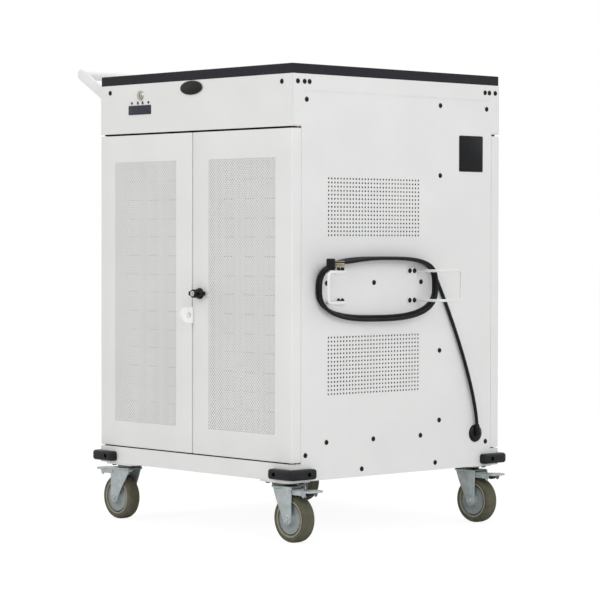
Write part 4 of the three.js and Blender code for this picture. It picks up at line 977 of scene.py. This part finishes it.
# %% Power strip
strip_low, strip_high = span("power_strip")
strip_x = (strip_low.x + strip_high.x) / 2
tiles, painted_hole_shade = bmesh.new(), bmesh.new()
outlets = [strip_low.z + 40 + 52 * i for i in range(10)]
toward_rear = Matrix(((-1, 0, 0, strip_x), (0, 0, 1, strip_high.y), (0, 1, 0, 0), (0, 0, 0, 1)))
for z in outlets:
    slots = [rounded(x - 1.1, z + 1, x + 1.1, z + 8.4, 0.4, 1) for x in (-6.3, 6.3)]
    slab(tiles, rounded(-15, z - 13, 15, z + 13, 4), 1.6, toward_rear, [*slots, arc(0, z - 6, 2.6, 0, 360, 14)[:-1]])
    # Black sheets behind the tiles are painted shade that shows through the slots and holes
    slab(painted_hole_shade, rounded(-14, z - 12, 14, z + 12, 4), 0.4, toward_rear)
soften(tiles, 0.3, 2, 50)
finish("outlet_tiles", tiles, PALE, "cabinet", ())
finish("outlet_painted_hole_shade", painted_hole_shade, BLACK_FOAM_AND_PAINTED_SHADE, "cabinet", ())
bm = bmesh.new()
rocker = strip_high.z - 32
slab(bm, rounded(-8, rocker - 13, 8, rocker + 13, 1.5), 3, toward_rear)
soften(bm, 0.8, 2, 50)
lathe(bm, [(0, 2.4), (1.8, 2.2), (2.8, 1.4), (3, 0)], 16, aim((strip_x, strip_high.y, rocker + 20), REAR))
finish("strip_switch", bm, LENS, "cabinet", ())
print("outlets:", len(outlets))

# %% [markdown]
# ## Floor, light and background
#
# The cart stands on a plain pale floor under soft studio light. A large panel on the right makes the side a
# little brighter than the front. Camera, mirror and glass rays see white, so the background is white while the
# room's own light stays at the level that renders each colour as it is written.

# %% Stage
bm = bmesh.new()
bmesh.ops.create_grid(bm, x_segments=1, y_segments=1, size=30)
mesh = bpy.data.meshes.new("floor")
bm.to_mesh(mesh)
bm.free()
floor = bpy.data.objects.new("floor", mesh)
scene.collection.objects.link(floor)

material = bpy.data.materials.new("pale_floor")
material.use_nodes = True
tree = material.node_tree
tree.nodes.clear()
path = add_node(tree, "ShaderNodeLightPath")
paint = add_node(tree, "ShaderNodeBsdfDiffuse", {"Color": linear("#F2F2F2")})
glow = add_node(tree, "ShaderNodeEmission", {"Color": linear("#FFFFFF"), "Strength": 1.12})
share = add_node(tree, "ShaderNodeMath", {0: path.outputs["Is Camera Ray"], 1: 0.8}, operation="MULTIPLY")
mix = add_node(tree, "ShaderNodeMixShader", {0: share.outputs[0], 1: paint.outputs[0], 2: glow.outputs[0]})
add_node(tree, "ShaderNodeOutputMaterial", {"Surface": mix.outputs[0]})
floor.data.materials.append(material)

world = bpy.data.worlds.new("studio")
scene.world = world
world.use_nodes = True
tree = world.node_tree
tree.nodes.clear()
path = add_node(tree, "ShaderNodeLightPath")
seen = add_node(tree, "ShaderNodeMath", {0: path.outputs["Is Camera Ray"], 1: path.outputs["Is Glossy Ray"]}, operation="MAXIMUM")
seen = add_node(tree, "ShaderNodeMath", {0: seen.outputs[0], 1: path.outputs["Is Transmission Ray"]}, operation="MAXIMUM")
room = add_node(tree, "ShaderNodeBackground", {"Color": linear("#FFFFFF"), "Strength": 0.58})
white = add_node(tree, "ShaderNodeBackground", {"Color": linear("#FFFFFF"), "Strength": 1.0})
mix = add_node(tree, "ShaderNodeMixShader", {0: seen.outputs[0], 1: room.outputs[0], 2: white.outputs[0]})
add_node(tree, "ShaderNodeOutputWorld", {"Surface": mix.outputs[0]})

for name, place, size, power in (
        ("right_panel", (4.2, -1.0, 2.4), 2.6, 55), ("front_panel", (-0.6, -4.6, 2.6), 2.6, 44), ("top_panel", (0, 0, 4), 3, 32)):
    lamp = bpy.data.objects.new(name, bpy.data.lights.new(name, "AREA"))
    lamp.data.shape = "DISK"
    lamp.data.size = size
    lamp.data.energy = power
    lamp.data.color = (0.95, 0.98, 1) if name == "right_panel" else (1, 1, 1)
    lamp.matrix_world = aim(place, Vector(place) - Vector((0, 0, 0.55)))
    scene.collection.objects.link(lamp)
scene.view_settings.view_transform = "Standard"
print("stage made")
